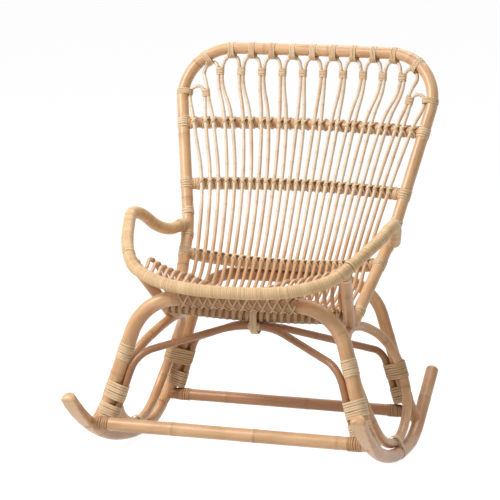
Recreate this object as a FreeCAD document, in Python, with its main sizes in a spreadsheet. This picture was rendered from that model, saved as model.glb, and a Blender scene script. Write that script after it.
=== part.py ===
import FreeCAD, Part
import math
import os
import Sketcher
from FreeCAD import Placement, Vector

# Rattan rocking chair. X runs across the chair, the sitter faces -Y and Z is up.
# The origin lies on the floor, midway between the two runners, at their line of contact.

# Driving sizes in millimetres and degrees, each with what it measures
SIZES = {
    "fit_gap": (0.3, "clearance where one pole is coped round another"),
    "runner_radius": (15, "radius of the runner poles"),
    "runner_arc": (620, "radius of a runner's centre line from its front tip to its rear bend"),
    "runner_bend_y": (45, "start of a runner's rear bend along Y"),
    "runner_bend": (180, "radius of that bend"),
    "runner_rise": (36, "slope of a runner's straight rear end"),
    "runner_front_y": (-415, "front tips of the runners along Y"),
    "runner_rear_y": (268, "rear tips of the runners along Y"),
    "runner_spacing": (654, "distance between the runners at the floor"),
    "runner_toe": (1.5, "angle by which each runner opens towards the front"),
    "runner_tip": (5, "rounding of the runner tips"),
    "front_radius": (17.5, "radius of the front arch"),
    "rear_radius": (14.5, "radius of the rear arch"),
    "arch_inset": (12, "feet of the arches inside the runners' centre lines"),
    "front_foot_y": (-269, "front feet along Y"),
    "front_top_y": (-224, "top of the front arch along Y"),
    "front_top_z": (382, "top of the front arch above the floor"),
    "front_shoulder": (458, "width of the front arch where its sides would meet its top"),
    "front_bend": (120, "bend radius of the front arch's shoulders"),
    "rear_y": (133, "rear arch along Y"),
    "rear_top_z": (377, "top of the rear arch above the floor"),
    "rear_shoulder": (418, "width of the rear arch where its sides would meet its top"),
    "rear_bend": (110, "bend radius of the rear arch's shoulders"),
    "stretcher_front": (15.2, "radius of the front stretcher"),
    "stretcher_room": (6, "room between the front stretcher and the front feet"),
    "stretcher_rear": (13.8, "radius of the rear stretcher"),
    "stretcher_rear_z": (71, "rear stretcher above the floor"),
    "frame_radius": (14, "radius of the back frame pole"),
    "frame_top_z": (898, "centre of the frame's top above the floor"),
    "frame_top_y": (308, "corners of the frame's top along Y"),
    "frame_top_width": (674, "width of the frame where its sides would meet its top"),
    "frame_corner": (120, "bend radius of the frame's top corners"),
    "frame_bow": (26, "how far the middle of the top bows backwards"),
    "frame_knee_z": (483, "height of the bend behind the arms"),
    "frame_knee_y": (135, "bend behind the arms along Y"),
    "frame_knee_width": (506, "width of the frame at that bend"),
    "frame_knee_bend": (160, "bend radius behind the arms"),
    "frame_foot_y": (-53, "lower ends of the frame along Y"),
    "rail_radius": (13, "radius of the three back rails"),
    "upper_rail_z": (721, "ends of the upper rail above the floor"),
    "upper_rail_bow": (71, "backward bow of the upper rail"),
    "middle_rail_z": (581, "ends of the middle rail above the floor"),
    "middle_rail_bow": (64, "backward bow of the middle rail"),
    "lower_rail_z": (431, "ends of the lower rail above the floor"),
    "lower_rail_bow": (50, "backward bow of the lower rail"),
    "rod_radius": (4.4, "radius of the seat and back rods"),
    "rod_pitch_top": (51.5, "distance between the arched tops of the rod loops"),
    "rod_pitch_outer": (62, "distance from the outermost two tied tops to their neighbours"),
    "rod_room_upper": (20.7, "distance between the outermost rod and the frame at the upper rail"),
    "rod_pair_upper": (27, "distance between the two rods of a loop at the upper rail"),
    "rod_room_middle": (32.2, "distance between the outermost rod and the frame at the middle rail"),
    "rod_room_lower": (25.6, "distance between the outermost rod and the frame at the lower rail"),
    "rod_pitch_seat": (33, "distance between rod loops on the seat"),
    "rod_pitch_rim": (35.5, "distance between rod loops at the front rim"),
    "neck_drop": (36, "neck ties below the arched tops"),
    "end_loop_drop": (72, "tops of the two end loops below the others"),
    "end_loop_width": (30, "width of the two end loops"),
    "seat_low_y": (24, "lowest part of the seat along Y"),
    "seat_low_z": (346, "lowest part of the seat above the floor"),
    "seat_side_low": (34, "rise of the seat's sides at its lowest part"),
    "seat_side_front": (6, "rise of the seat's sides over the seat rail"),
    "seat_side_rim": (23, "rise of the outer rods behind the front rim"),
    "hoop_radius": (12.4, "radius of the arm and rim poles"),
    "wrap_skin": (1.5, "thickness of the cane wound round the arms and rim"),
    "rim_y": (-311, "middle of the front rim along Y"),
    "rim_z": (419, "middle of the front rim above the floor"),
    "rim_side_width": (280, "width of the rim where it starts to rise"),
    "rim_side_rise": (8, "rise of the rim there"),
    "rim_side_back": (9, "how far back the rim is there"),
    "rim_corner_width": (452, "width of the rim at its front corners"),
    "rim_corner_rise": (31, "rise of the rim's front corners"),
    "rim_corner_back": (40, "how far back the rim's front corners are"),
    "arm_turn_width": (524, "width where the arms leave the rim"),
    "arm_turn_y": (-233, "end of the rim along Y, where the arms leave it"),
    "arm_turn_z": (478, "height where the arms leave the rim"),
    "arm_rise_width": (600, "width half way up the front of the arms"),
    "arm_rise_y": (-138, "that place along Y"),
    "arm_rise_z": (522, "that place above the floor"),
    "arm_top_width": (626, "width over the raised middles of the arms"),
    "arm_top_y": (-63, "raised middles of the arms along Y"),
    "arm_top_z": (546, "raised middles of the arms above the floor"),
    "arm_dip_width": (566, "width at the dips behind the raised middles"),
    "arm_dip_y": (57, "dips of the arms along Y"),
    "arm_dip_z": (490, "dips of the arms above the floor"),
    "arm_joint_rise": (9, "joint of arm and back frame above the frame's bend"),
    "post_radius": (13.5, "radius of the side posts"),
    "post_foot_y": (-76, "lower ends of the posts along Y"),
    "post_top_y": (-244, "upper ends of the posts along Y, under the rim"),
    "seat_rail_radius": (11, "radius of the rail under the seat"),
    "seat_rail_y": (-108, "middle of the rail under the seat along Y"),
    "seat_rail_z": (328, "middle of the rail under the seat above the floor"),
    "seat_rail_rise": (8, "rise of that rail's ends"),
    "loop_radius": (11, "radius of the side loop poles"),
    "loop_top_z": (305, "top of the side loops above the floor"),
    "loop_top_width": (432, "distance between the side loops at their tops"),
    "loop_foot_inset": (11, "feet of the side loops inside the runners' centre lines"),
    "loop_foot_y": (-49, "lowest part of a side loop along Y"),
    "loop_top_y": (-59, "highest part of a side loop along Y"),
    "loop_bulge": (24, "how far a side loop's ends stand out of its plane"),
    "loop_rear_y": (106, "rearmost part of a side loop along Y"),
    "loop_front_y": (-215, "foremost part of a side loop along Y"),
    "loop_side_z": (185, "rearmost and foremost parts of a side loop above the floor"),
    "brace_radius": (8.5, "radius of the two braces"),
    "brace_flat": (90, "straight middle of a brace under the seat rail"),
    "front_brace_foot_z": (104, "lower ends of the front brace, measured on the legs"),
    "front_brace_knee_z": (258, "bends of the front brace, measured on the legs"),
    "front_brace_bend": (75, "radius of the front brace's bends"),
    "rear_brace_foot_z": (104, "lower ends of the rear brace, measured on the legs"),
    "rear_brace_knee_z": (219, "bends of the rear brace, measured on the legs"),
    "rear_brace_bend": (45, "radius of the rear brace's bends"),
    "cane_radius": (1.4, "radius of the binding cane"),
    "cane_pitch": (3.4, "advance of a binding for each turn"),
    "front_binding_high_z": (253, "upper bindings of the front legs above the floor"),
    "front_binding_low_z": (166, "middle bindings of the front legs above the floor"),
    "front_binding_foot_z": (118, "lowest bindings of the front legs above the floor"),
    "rear_binding_high_z": (173, "upper bindings of the rear legs above the floor"),
    "rear_binding_low_z": (116, "lower bindings of the rear legs above the floor"),
    "binding_turns": (7, "turns of cane in a leg binding"),
    "band_turns": (5, "turns of cane in a band or cuff"),
    "tie_turns": (3, "turns of cane in a rod tie"),
    "lashing_wall": (2.2, "thickness of the lashing over a rod"),
    "lashing_width": (7, "width of the lashing along its rod"),
}
LOOPS = 13
MIDDLE_LOOP = 7
FLAT_SHARE = 0.8
RIM_SHARE = 0.5
OUTWARD = 0.2
SHARE = 0.45
SAMPLES = 1600
SEAT_RAIL_STOP = 2
FIRST_BACK_STOP = 4
LACED_FIRST = 5
LACE_SHARES = (0.15, 0.55)

doc = FreeCAD.newDocument("rattan_rocking_chair")
sheet = doc.addObject("Spreadsheet::Sheet", "sizes")
size = {}


def write_sizes(entries):
    """Puts sizes in the next rows of the sheet and reads them back."""
    for row, (alias, (amount, meaning)) in enumerate(entries.items(), start=len(size) + 1):
        sheet.set("A%d" % row, meaning)
        sheet.set("B%d" % row, repr(amount))
        sheet.setAlias("B%d" % row, alias)
    doc.recompute()
    size.update({alias: float(sheet.get(alias)) for alias in entries})


def runner_x(y):
    """Distance of a runner's centre line from the middle plane."""
    return size["runner_spacing"] / 2 - math.tan(math.radians(size["runner_toe"])) * y


def runner_lift(y):
    """Height of a runner's centre line above its lowest point."""
    arc, bend, start = size["runner_arc"], size["runner_bend"], size["runner_bend_y"]
    rise = math.radians(size["runner_rise"])
    lean = start / arc
    straight = start + bend * (math.sin(rise) - lean)
    along = min(max(y - start, 0), straight - start)
    lift = arc - math.sqrt(arc ** 2 - min(y, start) ** 2)
    lift += math.sqrt(bend ** 2 - (bend * lean) ** 2) - math.sqrt(bend ** 2 - (bend * lean + along) ** 2)
    return lift + max(y - straight, 0) * math.tan(rise)


def runner_z(y):
    """Height of a runner's centre line above the floor."""
    return size["runner_radius"] + runner_lift(y)


write_sizes(SIZES)
gap = size["fit_gap"]
stretcher_y = size["front_foot_y"] - size["front_radius"] - size["stretcher_front"] - size["stretcher_room"]
rear_foot = (runner_x(size["rear_y"]) - size["arch_inset"], runner_z(size["rear_y"]))
rear_share = (size["stretcher_rear_z"] - rear_foot[1]) / (size["rear_top_z"] - rear_foot[1])
write_sizes({
    "front_foot_x": (runner_x(size["front_foot_y"]) - size["arch_inset"], "front feet from the middle plane"),
    "front_foot_z": (runner_z(size["front_foot_y"]), "front feet above the floor"),
    "rear_foot_x": (rear_foot[0], "rear feet from the middle plane"),
    "rear_foot_z": (rear_foot[1], "rear feet above the floor"),
    "stretcher_rear_x": (rear_foot[0] + rear_share * (size["rear_shoulder"] / 2 - rear_foot[0]),
                         "half the length of the rear stretcher"),
    "stretcher_front_x": (runner_x(stretcher_y), "half the length of the front stretcher"),
    "stretcher_front_y": (stretcher_y, "front stretcher along Y"),
    "stretcher_front_z": (runner_z(stretcher_y), "front stretcher above the floor"),
})
nodes = []
least_gaps = {}


# Routes of bent poles

def mirrored(points):
    """The same points on the other side of the chair's middle plane."""
    return [Vector(-p.x, p.y, p.z) for p in points]


def both_ways(half):
    """A route from one side to a last point on the middle plane and back on the other side."""
    return half + mirrored(half[:-1])[::-1]


def line(start, end):
    return Part.LineSegment(start, end).toShape()


def corner(before, point, after, radius=None):
    """Start, middle and end of the arc that rounds a corner, as large as its runs allow by default."""
    back = (before - point).normalize()
    ahead = (after - point).normalize()
    half = back.getAngle(ahead) / 2
    if radius is None:
        run = min((before - point).Length, (after - point).Length)
        radius = SHARE * run * math.tan(half)
    reach = radius / math.tan(half)
    inward = (back + ahead).normalize()
    middle = point + inward * (radius / math.sin(half) - radius)
    return point + back * reach, middle, point + ahead * reach


def rounded(points, radii=None):
    """Straight runs joined by tangent arcs; radii holds bend radii for some points by their index."""
    radii = radii or {}
    edges = []
    last = points[0]
    for index in range(1, len(points) - 1):
        start, middle, end = corner(points[index - 1], points[index], points[index + 1], radii.get(index))
        edges.append(line(last, start))
        edges.append(Part.Arc(start, middle, end).toShape())
        last = end
    edges.append(line(last, points[-1]))
    return Part.Wire(edges)


def half_arc(start, apex, end):
    """The arc between two points whose tangents meet at a third."""
    middle = (start + end) * 0.5
    rise = (apex - middle).Length
    half = (end - start).Length / 2
    if rise < 1e-5 * half:
        return line(start, end)
    radius = half * math.hypot(half, rise) / rise
    sagitta = radius - math.sqrt(radius ** 2 - half ** 2)
    return Part.Arc(start, middle + (apex - middle) * (sagitta / rise), end).toShape()


def biarc(start, heading, end, onward):
    """Two tangent arcs from one point and direction to another."""
    chord = end - start
    lead = chord.dot(heading + onward)
    spread = 2 * (1 - heading.dot(onward))
    square = chord.dot(chord)
    reach = square / (lead + math.sqrt(lead ** 2 + spread * square))
    first = start + heading * reach
    second = end - onward * reach
    joint = (first + second) * 0.5
    return [half_arc(start, first, joint), half_arc(joint, second, end)]


def flowing(stops):
    """A smooth wire of tangent arcs through points with their directions."""
    edges = []
    for (start, heading), (end, onward) in zip(stops, stops[1:]):
        edges.extend(biarc(start, heading, end, onward))
    return Part.Wire(edges)


def with_headings(points):
    """Points with directions that run parallel to the line between their neighbours."""
    ahead = points[1:] + points[-1:]
    behind = points[:1] + points[:-1]
    return [(point, (b - a).normalize()) for point, a, b in zip(points, behind, ahead)]


def pipe(wire, radius):
    """A round pole of one radius along a wire."""
    edge = wire.OrderedEdges[0]
    start = wire.OrderedVertexes[0].Point
    heading = edge.tangentAt(edge.FirstParameter)
    section = Part.Wire(Part.Circle(start, heading, radius).toShape())
    solid = wire.makePipeShell([section], True, False)
    expected = math.pi * radius ** 2 * wire.Length
    if abs(solid.Volume - expected) > 0.02 * expected:
        raise ValueError("a pole's volume is %.0f, not %.0f" % (solid.Volume, expected))
    return solid


def coped(shape, *tools):
    """The largest piece that is left of a pole when the poles that it meets are cut from it."""
    cut = shape.cut(list(tools))
    return max(cut.Solids, key=lambda solid: solid.Volume)


def place_on(wire, measure, amount):
    """Point and direction where a wire first reaches an amount of a measure of its points."""
    points = wire.discretize(Number=SAMPLES)
    for before, after in zip(points, points[1:]):
        low = measure(before) - amount
        high = measure(after) - amount
        if low * high <= 0 and low != high:
            return before + (after - before) * (low / (low - high)), (after - before).normalize()
    raise ValueError("a pole does not reach %.1f" % amount)


def feature(label, shape):
    """A sub-part whose shape is worked out from the sizes in the sheet."""
    item = doc.addObject("Part::Feature", label)
    item.Label = label
    item.Shape = shape
    item.Placement = Placement()
    nodes.append(item)
    return item


def winding(label, centre, axis, side, reach, radius, turns):
    """A cane tube wound round a pole of a radius, or round two ends that lie reach apart along side."""
    along = Vector(axis).normalize()
    out = Vector(side)
    out = (out - along * out.dot(along)).normalize()
    across = along.cross(out)
    bend = radius + gap + size["cane_radius"]
    climb = size["cane_pitch"] / (2 * math.pi * bend + 2 * reach)
    lean = 1 / math.hypot(1, climb)
    stops = []
    travel = 0.0
    for half_turn in range(2 * int(turns)):
        sign = 1 - 2 * (half_turn % 2)
        for angle in (-math.pi / 2, 0, math.pi / 2):
            rim = out * (reach / 2 + bend * math.cos(angle)) + across * (bend * math.sin(angle))
            ahead = across * math.cos(angle) - out * math.sin(angle)
            heading = (ahead * sign + along * climb) * lean
            stops.append((centre + rim * sign + along * (travel * climb), heading))
            travel += reach if angle > 0 else bend * math.pi / 2
    shift = along * (stops[-1][0] - stops[0][0]).dot(along) / 2
    stops = [(point - shift, heading) for point, heading in stops]
    stops = [stop for stop, after in zip(stops, stops[1:]) if (after[0] - stop[0]).Length > 1e-6] + stops[-1:]
    wire = flowing(stops)
    points = wire.discretize(Number=24 * int(turns) + 1)
    least = min((b - a).Length for i, a in enumerate(points) for b in points[i + 12:])
    free = least - 2 * size["cane_radius"]
    least_gaps[label] = min(free, least_gaps.get(label, free))
    return pipe(wire, size["cane_radius"])


# Helpers for sketched and primitive pieces

def add_sketch(body, name, role):
    """A sketch on one of a body's own origin planes."""
    sketch = body.newObject("Sketcher::SketchObject", name)
    sketch.AttachmentSupport = [(plane, "") for plane in body.Origin.OriginFeatures if plane.Role == role]
    sketch.MapMode = "FlatFace"
    return sketch


def drive(sketch, constraint, expression):
    """A dimension of a sketch bound to sizes in the sheet."""
    index = sketch.addConstraint(constraint)
    sketch.setExpression("Constraints[%d]" % index, expression)


def primitive(kind, name, **expressions):
    """A primitive whose sizes and place are bound to sizes in the sheet."""
    item = doc.addObject(kind, name)
    for prop, expression in expressions.items():
        item.setExpression(prop, expression)
    return item


def cut_node(label, base, tool):
    """A sub-part made of one object with another cut from it."""
    item = doc.addObject("Part::Cut", label)
    item.Label = label
    item.Base = base
    item.Tool = tool
    nodes.append(item)
    return item



# Runners and the room that the poles standing on them leave

def make_runner(label, side, clearance):
    """A pole swept from the floor contact to the front tip and to the rear tip."""
    body = doc.addObject("PartDesign::Body", label)
    body.Label = label
    section = add_sketch(body, label + "_section", "XZ_Plane")
    section.addGeometry(Part.Circle(Vector(), Vector(0, 0, 1), size["runner_radius"]), False)
    section.addConstraint(Sketcher.Constraint("Coincident", 0, 3, -1, 1))
    radius = Sketcher.Constraint("Radius", 0, size["runner_radius"])
    drive(section, radius, "sizes.runner_radius + " + clearance)
    arc, bend, start = size["runner_arc"], size["runner_bend"], size["runner_bend_y"]
    lean = math.asin(start / arc)
    rise = math.radians(size["runner_rise"])
    bend_centre = Vector(start - bend * math.sin(lean), runner_lift(start) + bend * math.cos(lean), 0)
    straight_y = bend_centre.x + bend * math.sin(rise)
    straight = Vector(straight_y, runner_lift(straight_y), 0)
    tip = Vector(size["runner_rear_y"], runner_lift(size["runner_rear_y"]), 0)
    rear = add_sketch(body, label + "_rear_path", "YZ_Plane")
    main = Part.Circle(Vector(0, arc, 0), Vector(0, 0, 1), arc)
    turn = Part.Circle(bend_centre, Vector(0, 0, 1), bend)
    down = -math.pi / 2
    rear.addGeometry(Part.ArcOfCircle(main, down, down + lean), False)
    rear.addGeometry(Part.ArcOfCircle(turn, down + lean, down + rise), False)
    rear.addGeometry(Part.LineSegment(straight, tip), False)
    rear.addConstraint(Sketcher.Constraint("Coincident", 0, 1, -1, 1))
    rear.addConstraint(Sketcher.Constraint("PointOnObject", 0, 3, -2))
    rear.addConstraint(Sketcher.Constraint("Tangent", 0, 2, 1, 1))
    rear.addConstraint(Sketcher.Constraint("Tangent", 1, 2, 2, 1))
    drive(rear, Sketcher.Constraint("Radius", 0, arc), "sizes.runner_arc")
    drive(rear, Sketcher.Constraint("Radius", 1, bend), "sizes.runner_bend")
    drive(rear, Sketcher.Constraint("DistanceX", -1, 1, 0, 2, start), "sizes.runner_bend_y")
    drive(rear, Sketcher.Constraint("Angle", 2, rise), "sizes.runner_rise * 1 deg")
    drive(rear, Sketcher.Constraint("DistanceX", -1, 1, 2, 2, tip.x), "sizes.runner_rear_y")
    front = add_sketch(body, label + "_front_path", "YZ_Plane")
    reach = math.asin(-size["runner_front_y"] / arc)
    front.addGeometry(Part.ArcOfCircle(main, down - reach, down), False)
    front.addConstraint(Sketcher.Constraint("Coincident", 0, 2, -1, 1))
    front.addConstraint(Sketcher.Constraint("PointOnObject", 0, 3, -2))
    drive(front, Sketcher.Constraint("Radius", 0, arc), "sizes.runner_arc")
    tip_y = Sketcher.Constraint("DistanceX", 0, 1, -1, 1, -size["runner_front_y"])
    drive(front, tip_y, "-sizes.runner_front_y")
    for name, path in (("rear", rear), ("front", front)):
        sweep = body.newObject("PartDesign::AdditivePipe", "%s_%s" % (label, name))
        sweep.Profile = section
        sweep.Spine = path
        doc.recompute()
    flat = [face for face in sweep.Shape.Faces if isinstance(face.Surface, Part.Plane)]
    rims = [edge for face in flat for edge in face.Edges]
    tips = body.newObject("PartDesign::Fillet", label + "_tips")
    numbered = enumerate(sweep.Shape.Edges, start=1)
    chosen = [number for number, edge in numbered if any(edge.isSame(rim) for rim in rims)]
    tips.Base = (sweep, ["Edge%d" % number for number in chosen])
    tips.setExpression("Radius", "sizes.runner_tip")
    body.Tip = tips
    place = "vector(%d * sizes.runner_spacing / 2; 0; sizes.runner_radius)" % side
    body.setExpression("Placement", "placement(%s; rotation(%d * sizes.runner_toe; 0; 0))" % (place, side))
    return body


nodes.append(make_runner("right_runner", 1, "0"))
nodes.append(make_runner("left_runner", -1, "0"))
room = doc.addObject("Part::Compound", "runner_room")
room.Links = [make_runner("right_runner_room", 1, "sizes.fit_gap"),
              make_runner("left_runner_room", -1, "sizes.fit_gap")]


# Leg arches

def make_arch(label, part, foot_y, top_y):
    """A pole bent to an arch: half of it swept along a sketched path and mirrored, its feet coped."""
    body = doc.addObject("PartDesign::Body", label + "_pole")
    path = add_sketch(body, label + "_path", "XZ_Plane")
    fall = "(sizes.%s_top_z - sizes.%s_foot_z)" % (part, part)
    back = "(%s - %s)" % (top_y, foot_y)
    foot = Vector(size[part + "_foot_x"], size[part + "_foot_z"] - size[part + "_top_z"], 0)
    half = size[part + "_shoulder"] / 2
    radius = size[part + "_bend"]
    start, middle, end = corner(Vector(), Vector(half, 0, 0), foot, radius)
    path.addGeometry(Part.LineSegment(Vector(), start), False)
    path.addGeometry(Part.Arc(start, middle, end), False)
    path.addGeometry(Part.LineSegment(end, foot), False)
    path.addGeometry(Part.Point(Vector(half, 0, 0)), True)
    arc_start, arc_end = (1, 2) if (path.getPoint(1, 1) - start).Length < 1e-3 else (2, 1)
    path.addConstraint(Sketcher.Constraint("Coincident", 0, 1, -1, 1))
    path.addConstraint(Sketcher.Constraint("Horizontal", 0))
    path.addConstraint(Sketcher.Constraint("Tangent", 0, 2, 1, arc_start))
    path.addConstraint(Sketcher.Constraint("Tangent", 1, arc_end, 2, 1))
    path.addConstraint(Sketcher.Constraint("PointOnObject", 3, 1, -1))
    path.addConstraint(Sketcher.Constraint("PointOnObject", 3, 1, 2))
    drive(path, Sketcher.Constraint("DistanceX", -1, 1, 3, 1, half), "sizes.%s_shoulder / 2" % part)
    drive(path, Sketcher.Constraint("Radius", 1, radius), "sizes.%s_bend" % part)
    drive(path, Sketcher.Constraint("DistanceX", -1, 1, 2, 2, foot.x), "sizes.%s_foot_x" % part)
    drive(path, Sketcher.Constraint("DistanceY", 2, 2, -1, 1, -foot.y), "hypot(%s; %s)" % (fall, back))
    section = add_sketch(body, label + "_section", "YZ_Plane")
    section.addGeometry(Part.Circle(Vector(), Vector(0, 0, 1), size[part + "_radius"]), False)
    section.addConstraint(Sketcher.Constraint("Coincident", 0, 3, -1, 1))
    drive(section, Sketcher.Constraint("Radius", 0, size[part + "_radius"]), "sizes.%s_radius" % part)
    sweep = body.newObject("PartDesign::AdditivePipe", label + "_sweep")
    sweep.Profile = section
    sweep.Spine = path
    doc.recompute()
    other_half = body.newObject("PartDesign::Mirrored", label + "_other_half")
    other_half.Originals = [sweep]
    other_half.MirrorPlane = section.AttachmentSupport[0]
    body.Tip = other_half
    place = "vector(0; %s; sizes.%s_top_z)" % (top_y, part)
    body.setExpression("Placement", "placement(%s; rotation(0; 0; -atan2(%s; %s)))" % (place, back, fall))
    cut_node(label, body, room)


make_arch("front_arch", "front", "sizes.front_foot_y", "sizes.front_top_y")
make_arch("rear_arch", "rear", "sizes.rear_y", "sizes.rear_y")


# Stretchers

bar = primitive("Part::Cylinder", "front_stretcher_bar", Radius="sizes.stretcher_front",
                Height="2 * sizes.stretcher_front_x",
                Placement="placement(vector(-sizes.stretcher_front_x; sizes.stretcher_front_y; "
                          "sizes.stretcher_front_z); rotation(0; 90; 0))")
cut_node("front_stretcher", bar, room)


def rear_leg_room(name, side):
    """A rod slightly thicker than a rear leg, which copes the rear stretcher."""
    lean = "atan2(sizes.rear_foot_x - sizes.rear_shoulder / 2; sizes.rear_top_z - sizes.rear_foot_z)"
    return primitive("Part::Cylinder", name, Radius="sizes.rear_radius + sizes.fit_gap",
                     Height="sizes.rear_top_z / 2",
                     Placement="placement(vector(%d * sizes.rear_foot_x; sizes.rear_y; sizes.rear_foot_z); "
                               "rotation(0; %d * %s; 0))" % (side, -side, lean))


bar = primitive("Part::Cylinder", "rear_stretcher_bar", Radius="sizes.stretcher_rear",
                Height="2 * sizes.stretcher_rear_x",
                Placement="placement(vector(-sizes.stretcher_rear_x; sizes.rear_y; sizes.stretcher_rear_z); "
                          "rotation(0; 90; 0))")
legs = doc.addObject("Part::Compound", "rear_legs_room")
legs.Links = [rear_leg_room("right_rear_leg_room", 1), rear_leg_room("left_rear_leg_room", -1)]
cut_node("rear_stretcher", bar, legs)
doc.recompute()


# Side loops, each leaning inwards from its runner, with its ends out of the plane towards the legs

loop_foot_x = runner_x(size["loop_foot_y"]) - size["loop_foot_inset"]
loop_foot_z = runner_z(size["loop_foot_y"]) + math.sqrt(
    (size["runner_radius"] + size["loop_radius"] + gap) ** 2 - size["loop_foot_inset"] ** 2)


def loop_point(y, z, bulge=0):
    """A point of the right side loop's plane, or one that stands out of it."""
    lean = (size["loop_top_width"] / 2 - loop_foot_x) / (size["loop_top_z"] - loop_foot_z)
    return Vector(loop_foot_x + lean * (z - loop_foot_z) + bulge, y, z)


def side_loop_halves():
    """The right side loop from its lowest point over its rearmost to its highest, and back over its foremost."""
    low = loop_point(size["loop_foot_y"], loop_foot_z)
    rear = loop_point(size["loop_rear_y"], size["loop_side_z"], size["loop_bulge"])
    high = loop_point(size["loop_top_y"], size["loop_top_z"])
    front = loop_point(size["loop_front_y"], size["loop_side_z"], size["loop_bulge"])
    up = (high - low).normalize()
    back = Vector(0, 1, 0)
    level = (back + up * (size["loop_foot_y"] / size["runner_arc"])).normalize()
    rising = flowing([(low, level), (rear, up), (high, back * -1)])
    falling = flowing([(high, back * -1), (front, up * -1), (low, level)])
    return rising, falling


def side_loop(radius):
    """The right side loop as a pole of one radius, its halves joined end to end."""
    rising, falling = [pipe(half, radius) for half in side_loop_halves()]
    return rising.fuse(falling).removeSplitter().Solids[0]


right_loop = side_loop(size["loop_radius"])
right_loop_room = side_loop(size["loop_radius"] + gap)


def twin(shape):
    """The same piece on the other side of the chair."""
    return shape.mirror(Vector(), Vector(1, 0, 0))


feature("right_side_loop", right_loop)
feature("left_side_loop", twin(right_loop))
left_loop_room = twin(right_loop_room)


# Back frame

def at_height(low, high, z):
    """The point at one height of the straight line through two points."""
    return low + (high - low) * ((z - low.z) / (high.z - low.z))


loop_seat = Vector(size["loop_top_width"] / 2, 0, size["loop_top_z"] + size["loop_radius"] / 2)
frame_foot = Vector(loop_seat.x, size["frame_foot_y"], loop_seat.z)
frame_knee = Vector(size["frame_knee_width"] / 2, size["frame_knee_y"], size["frame_knee_z"])
frame_corner = Vector(size["frame_top_width"] / 2, size["frame_top_y"], size["frame_top_z"])
frame_middle = Vector(0, size["frame_top_y"] + size["frame_bow"], size["frame_top_z"])
frame_wire = rounded(
    both_ways([frame_foot, frame_knee, frame_corner, frame_middle]),
    {1: size["frame_knee_bend"], 2: size["frame_corner"],
     4: size["frame_corner"], 5: size["frame_knee_bend"]})
frame_room = pipe(frame_wire, size["frame_radius"] + gap)
feature("back_frame", coped(pipe(frame_wire, size["frame_radius"]), right_loop_room, left_loop_room))


def frame_side(z):
    """Centre of the right side of the back frame at one height, and the frame's direction there."""
    return place_on(frame_wire, lambda point: point.z, z)


def frame_top(x):
    """Centre of the frame's top at one distance from the middle plane, and its direction there."""
    upper = frame_wire.discretize(Number=SAMPLES)
    upper = [point for point in upper if point.z > size["frame_top_z"] - size["frame_corner"]]
    for before, after in zip(upper, upper[1:]):
        if (before.x - x) * (after.x - x) <= 0:
            share = (before.x - x) / (before.x - after.x)
            return before + (after - before) * share, (before - after).normalize()
    raise ValueError("the frame's top does not reach %.1f" % x)


# Back rails, each an arc between the two sides of the frame

class Rail:
    """An arc from side to side that bows backwards and may sag."""

    def __init__(self, height, bow, middle_z=None):
        self.end = frame_side(height)[0]
        self.middle = Vector(0, self.end.y + bow, self.end.z if middle_z is None else middle_z)
        self.wire = Part.Wire(Part.Arc(self.end, self.middle, mirrored([self.end])[0]).toShape())
        drop = Vector(0, self.middle.y - self.end.y, self.middle.z - self.end.z)
        self.depth = drop.Length
        self.bend = drop * (1 / self.depth)
        self.arc = (self.end.x ** 2 + self.depth ** 2) / (2 * self.depth)

    def at(self, x):
        """Centre of the rail at one distance from the middle plane, and its direction there."""
        rest = math.sqrt(self.arc ** 2 - x ** 2)
        point = Vector(x, self.middle.y, self.middle.z) - self.bend * (self.arc - rest)
        return point, (Vector(1, 0, 0) - self.bend * (x / rest)).normalize()


lower_middle_y = frame_side(size["lower_rail_z"])[0].y + size["lower_rail_bow"]
lower_middle_z = size["rear_top_z"] + math.sqrt(
    (size["rail_radius"] + size["rear_radius"] + gap) ** 2 - (lower_middle_y - size["rear_y"]) ** 2)
rails = {
    "upper": Rail(size["upper_rail_z"], size["upper_rail_bow"]),
    "middle": Rail(size["middle_rail_z"], size["middle_rail_bow"]),
    "lower": Rail(size["lower_rail_z"], size["lower_rail_bow"], lower_middle_z),
}
for name, rail in rails.items():
    feature(name + "_rail", coped(pipe(rail.wire, size["rail_radius"]), frame_room))


# Arms and front rim, one smooth line from the frame round the seat and back to the frame

arm_joint = frame_side(size["frame_knee_z"] + size["arm_joint_rise"])[0]
rim_middle = Vector(0, size["rim_y"], size["rim_z"])
half_hoop = [
    arm_joint,
    Vector(size["arm_dip_width"] / 2, size["arm_dip_y"], size["arm_dip_z"]),
    Vector(size["arm_top_width"] / 2, size["arm_top_y"], size["arm_top_z"]),
    Vector(size["arm_rise_width"] / 2, size["arm_rise_y"], size["arm_rise_z"]),
    Vector(size["arm_turn_width"] / 2, size["arm_turn_y"], size["arm_turn_z"]),
    rim_middle + Vector(size["rim_corner_width"] / 2, size["rim_corner_back"], size["rim_corner_rise"]),
    rim_middle + Vector(size["rim_side_width"] / 2, size["rim_side_back"], size["rim_side_rise"]),
    rim_middle,
]
hoop = with_headings(both_ways(half_hoop))
ARM_STOPS = 5
arm_wire = flowing(hoop[:ARM_STOPS])
rim_wire = flowing(hoop[ARM_STOPS - 1:1 - ARM_STOPS])
hoop_outer = size["hoop_radius"] + gap + size["wrap_skin"]


def wound_sleeve(wire):
    """The cane wound closely round a pole, as a thin sleeve."""
    return pipe(wire, hoop_outer).cut(pipe(wire, size["hoop_radius"] + gap))


right_arm = coped(pipe(arm_wire, size["hoop_radius"]), frame_room)
right_arm_wrap = coped(wound_sleeve(arm_wire), frame_room)
feature("right_arm", right_arm)
feature("left_arm", twin(right_arm))
feature("right_arm_wrap", right_arm_wrap)
feature("left_arm_wrap", twin(right_arm_wrap))
feature("front_rim", pipe(rim_wire, size["hoop_radius"]))
feature("front_rim_wrap", wound_sleeve(rim_wire))


# Side posts and the rail under the seat

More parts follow.
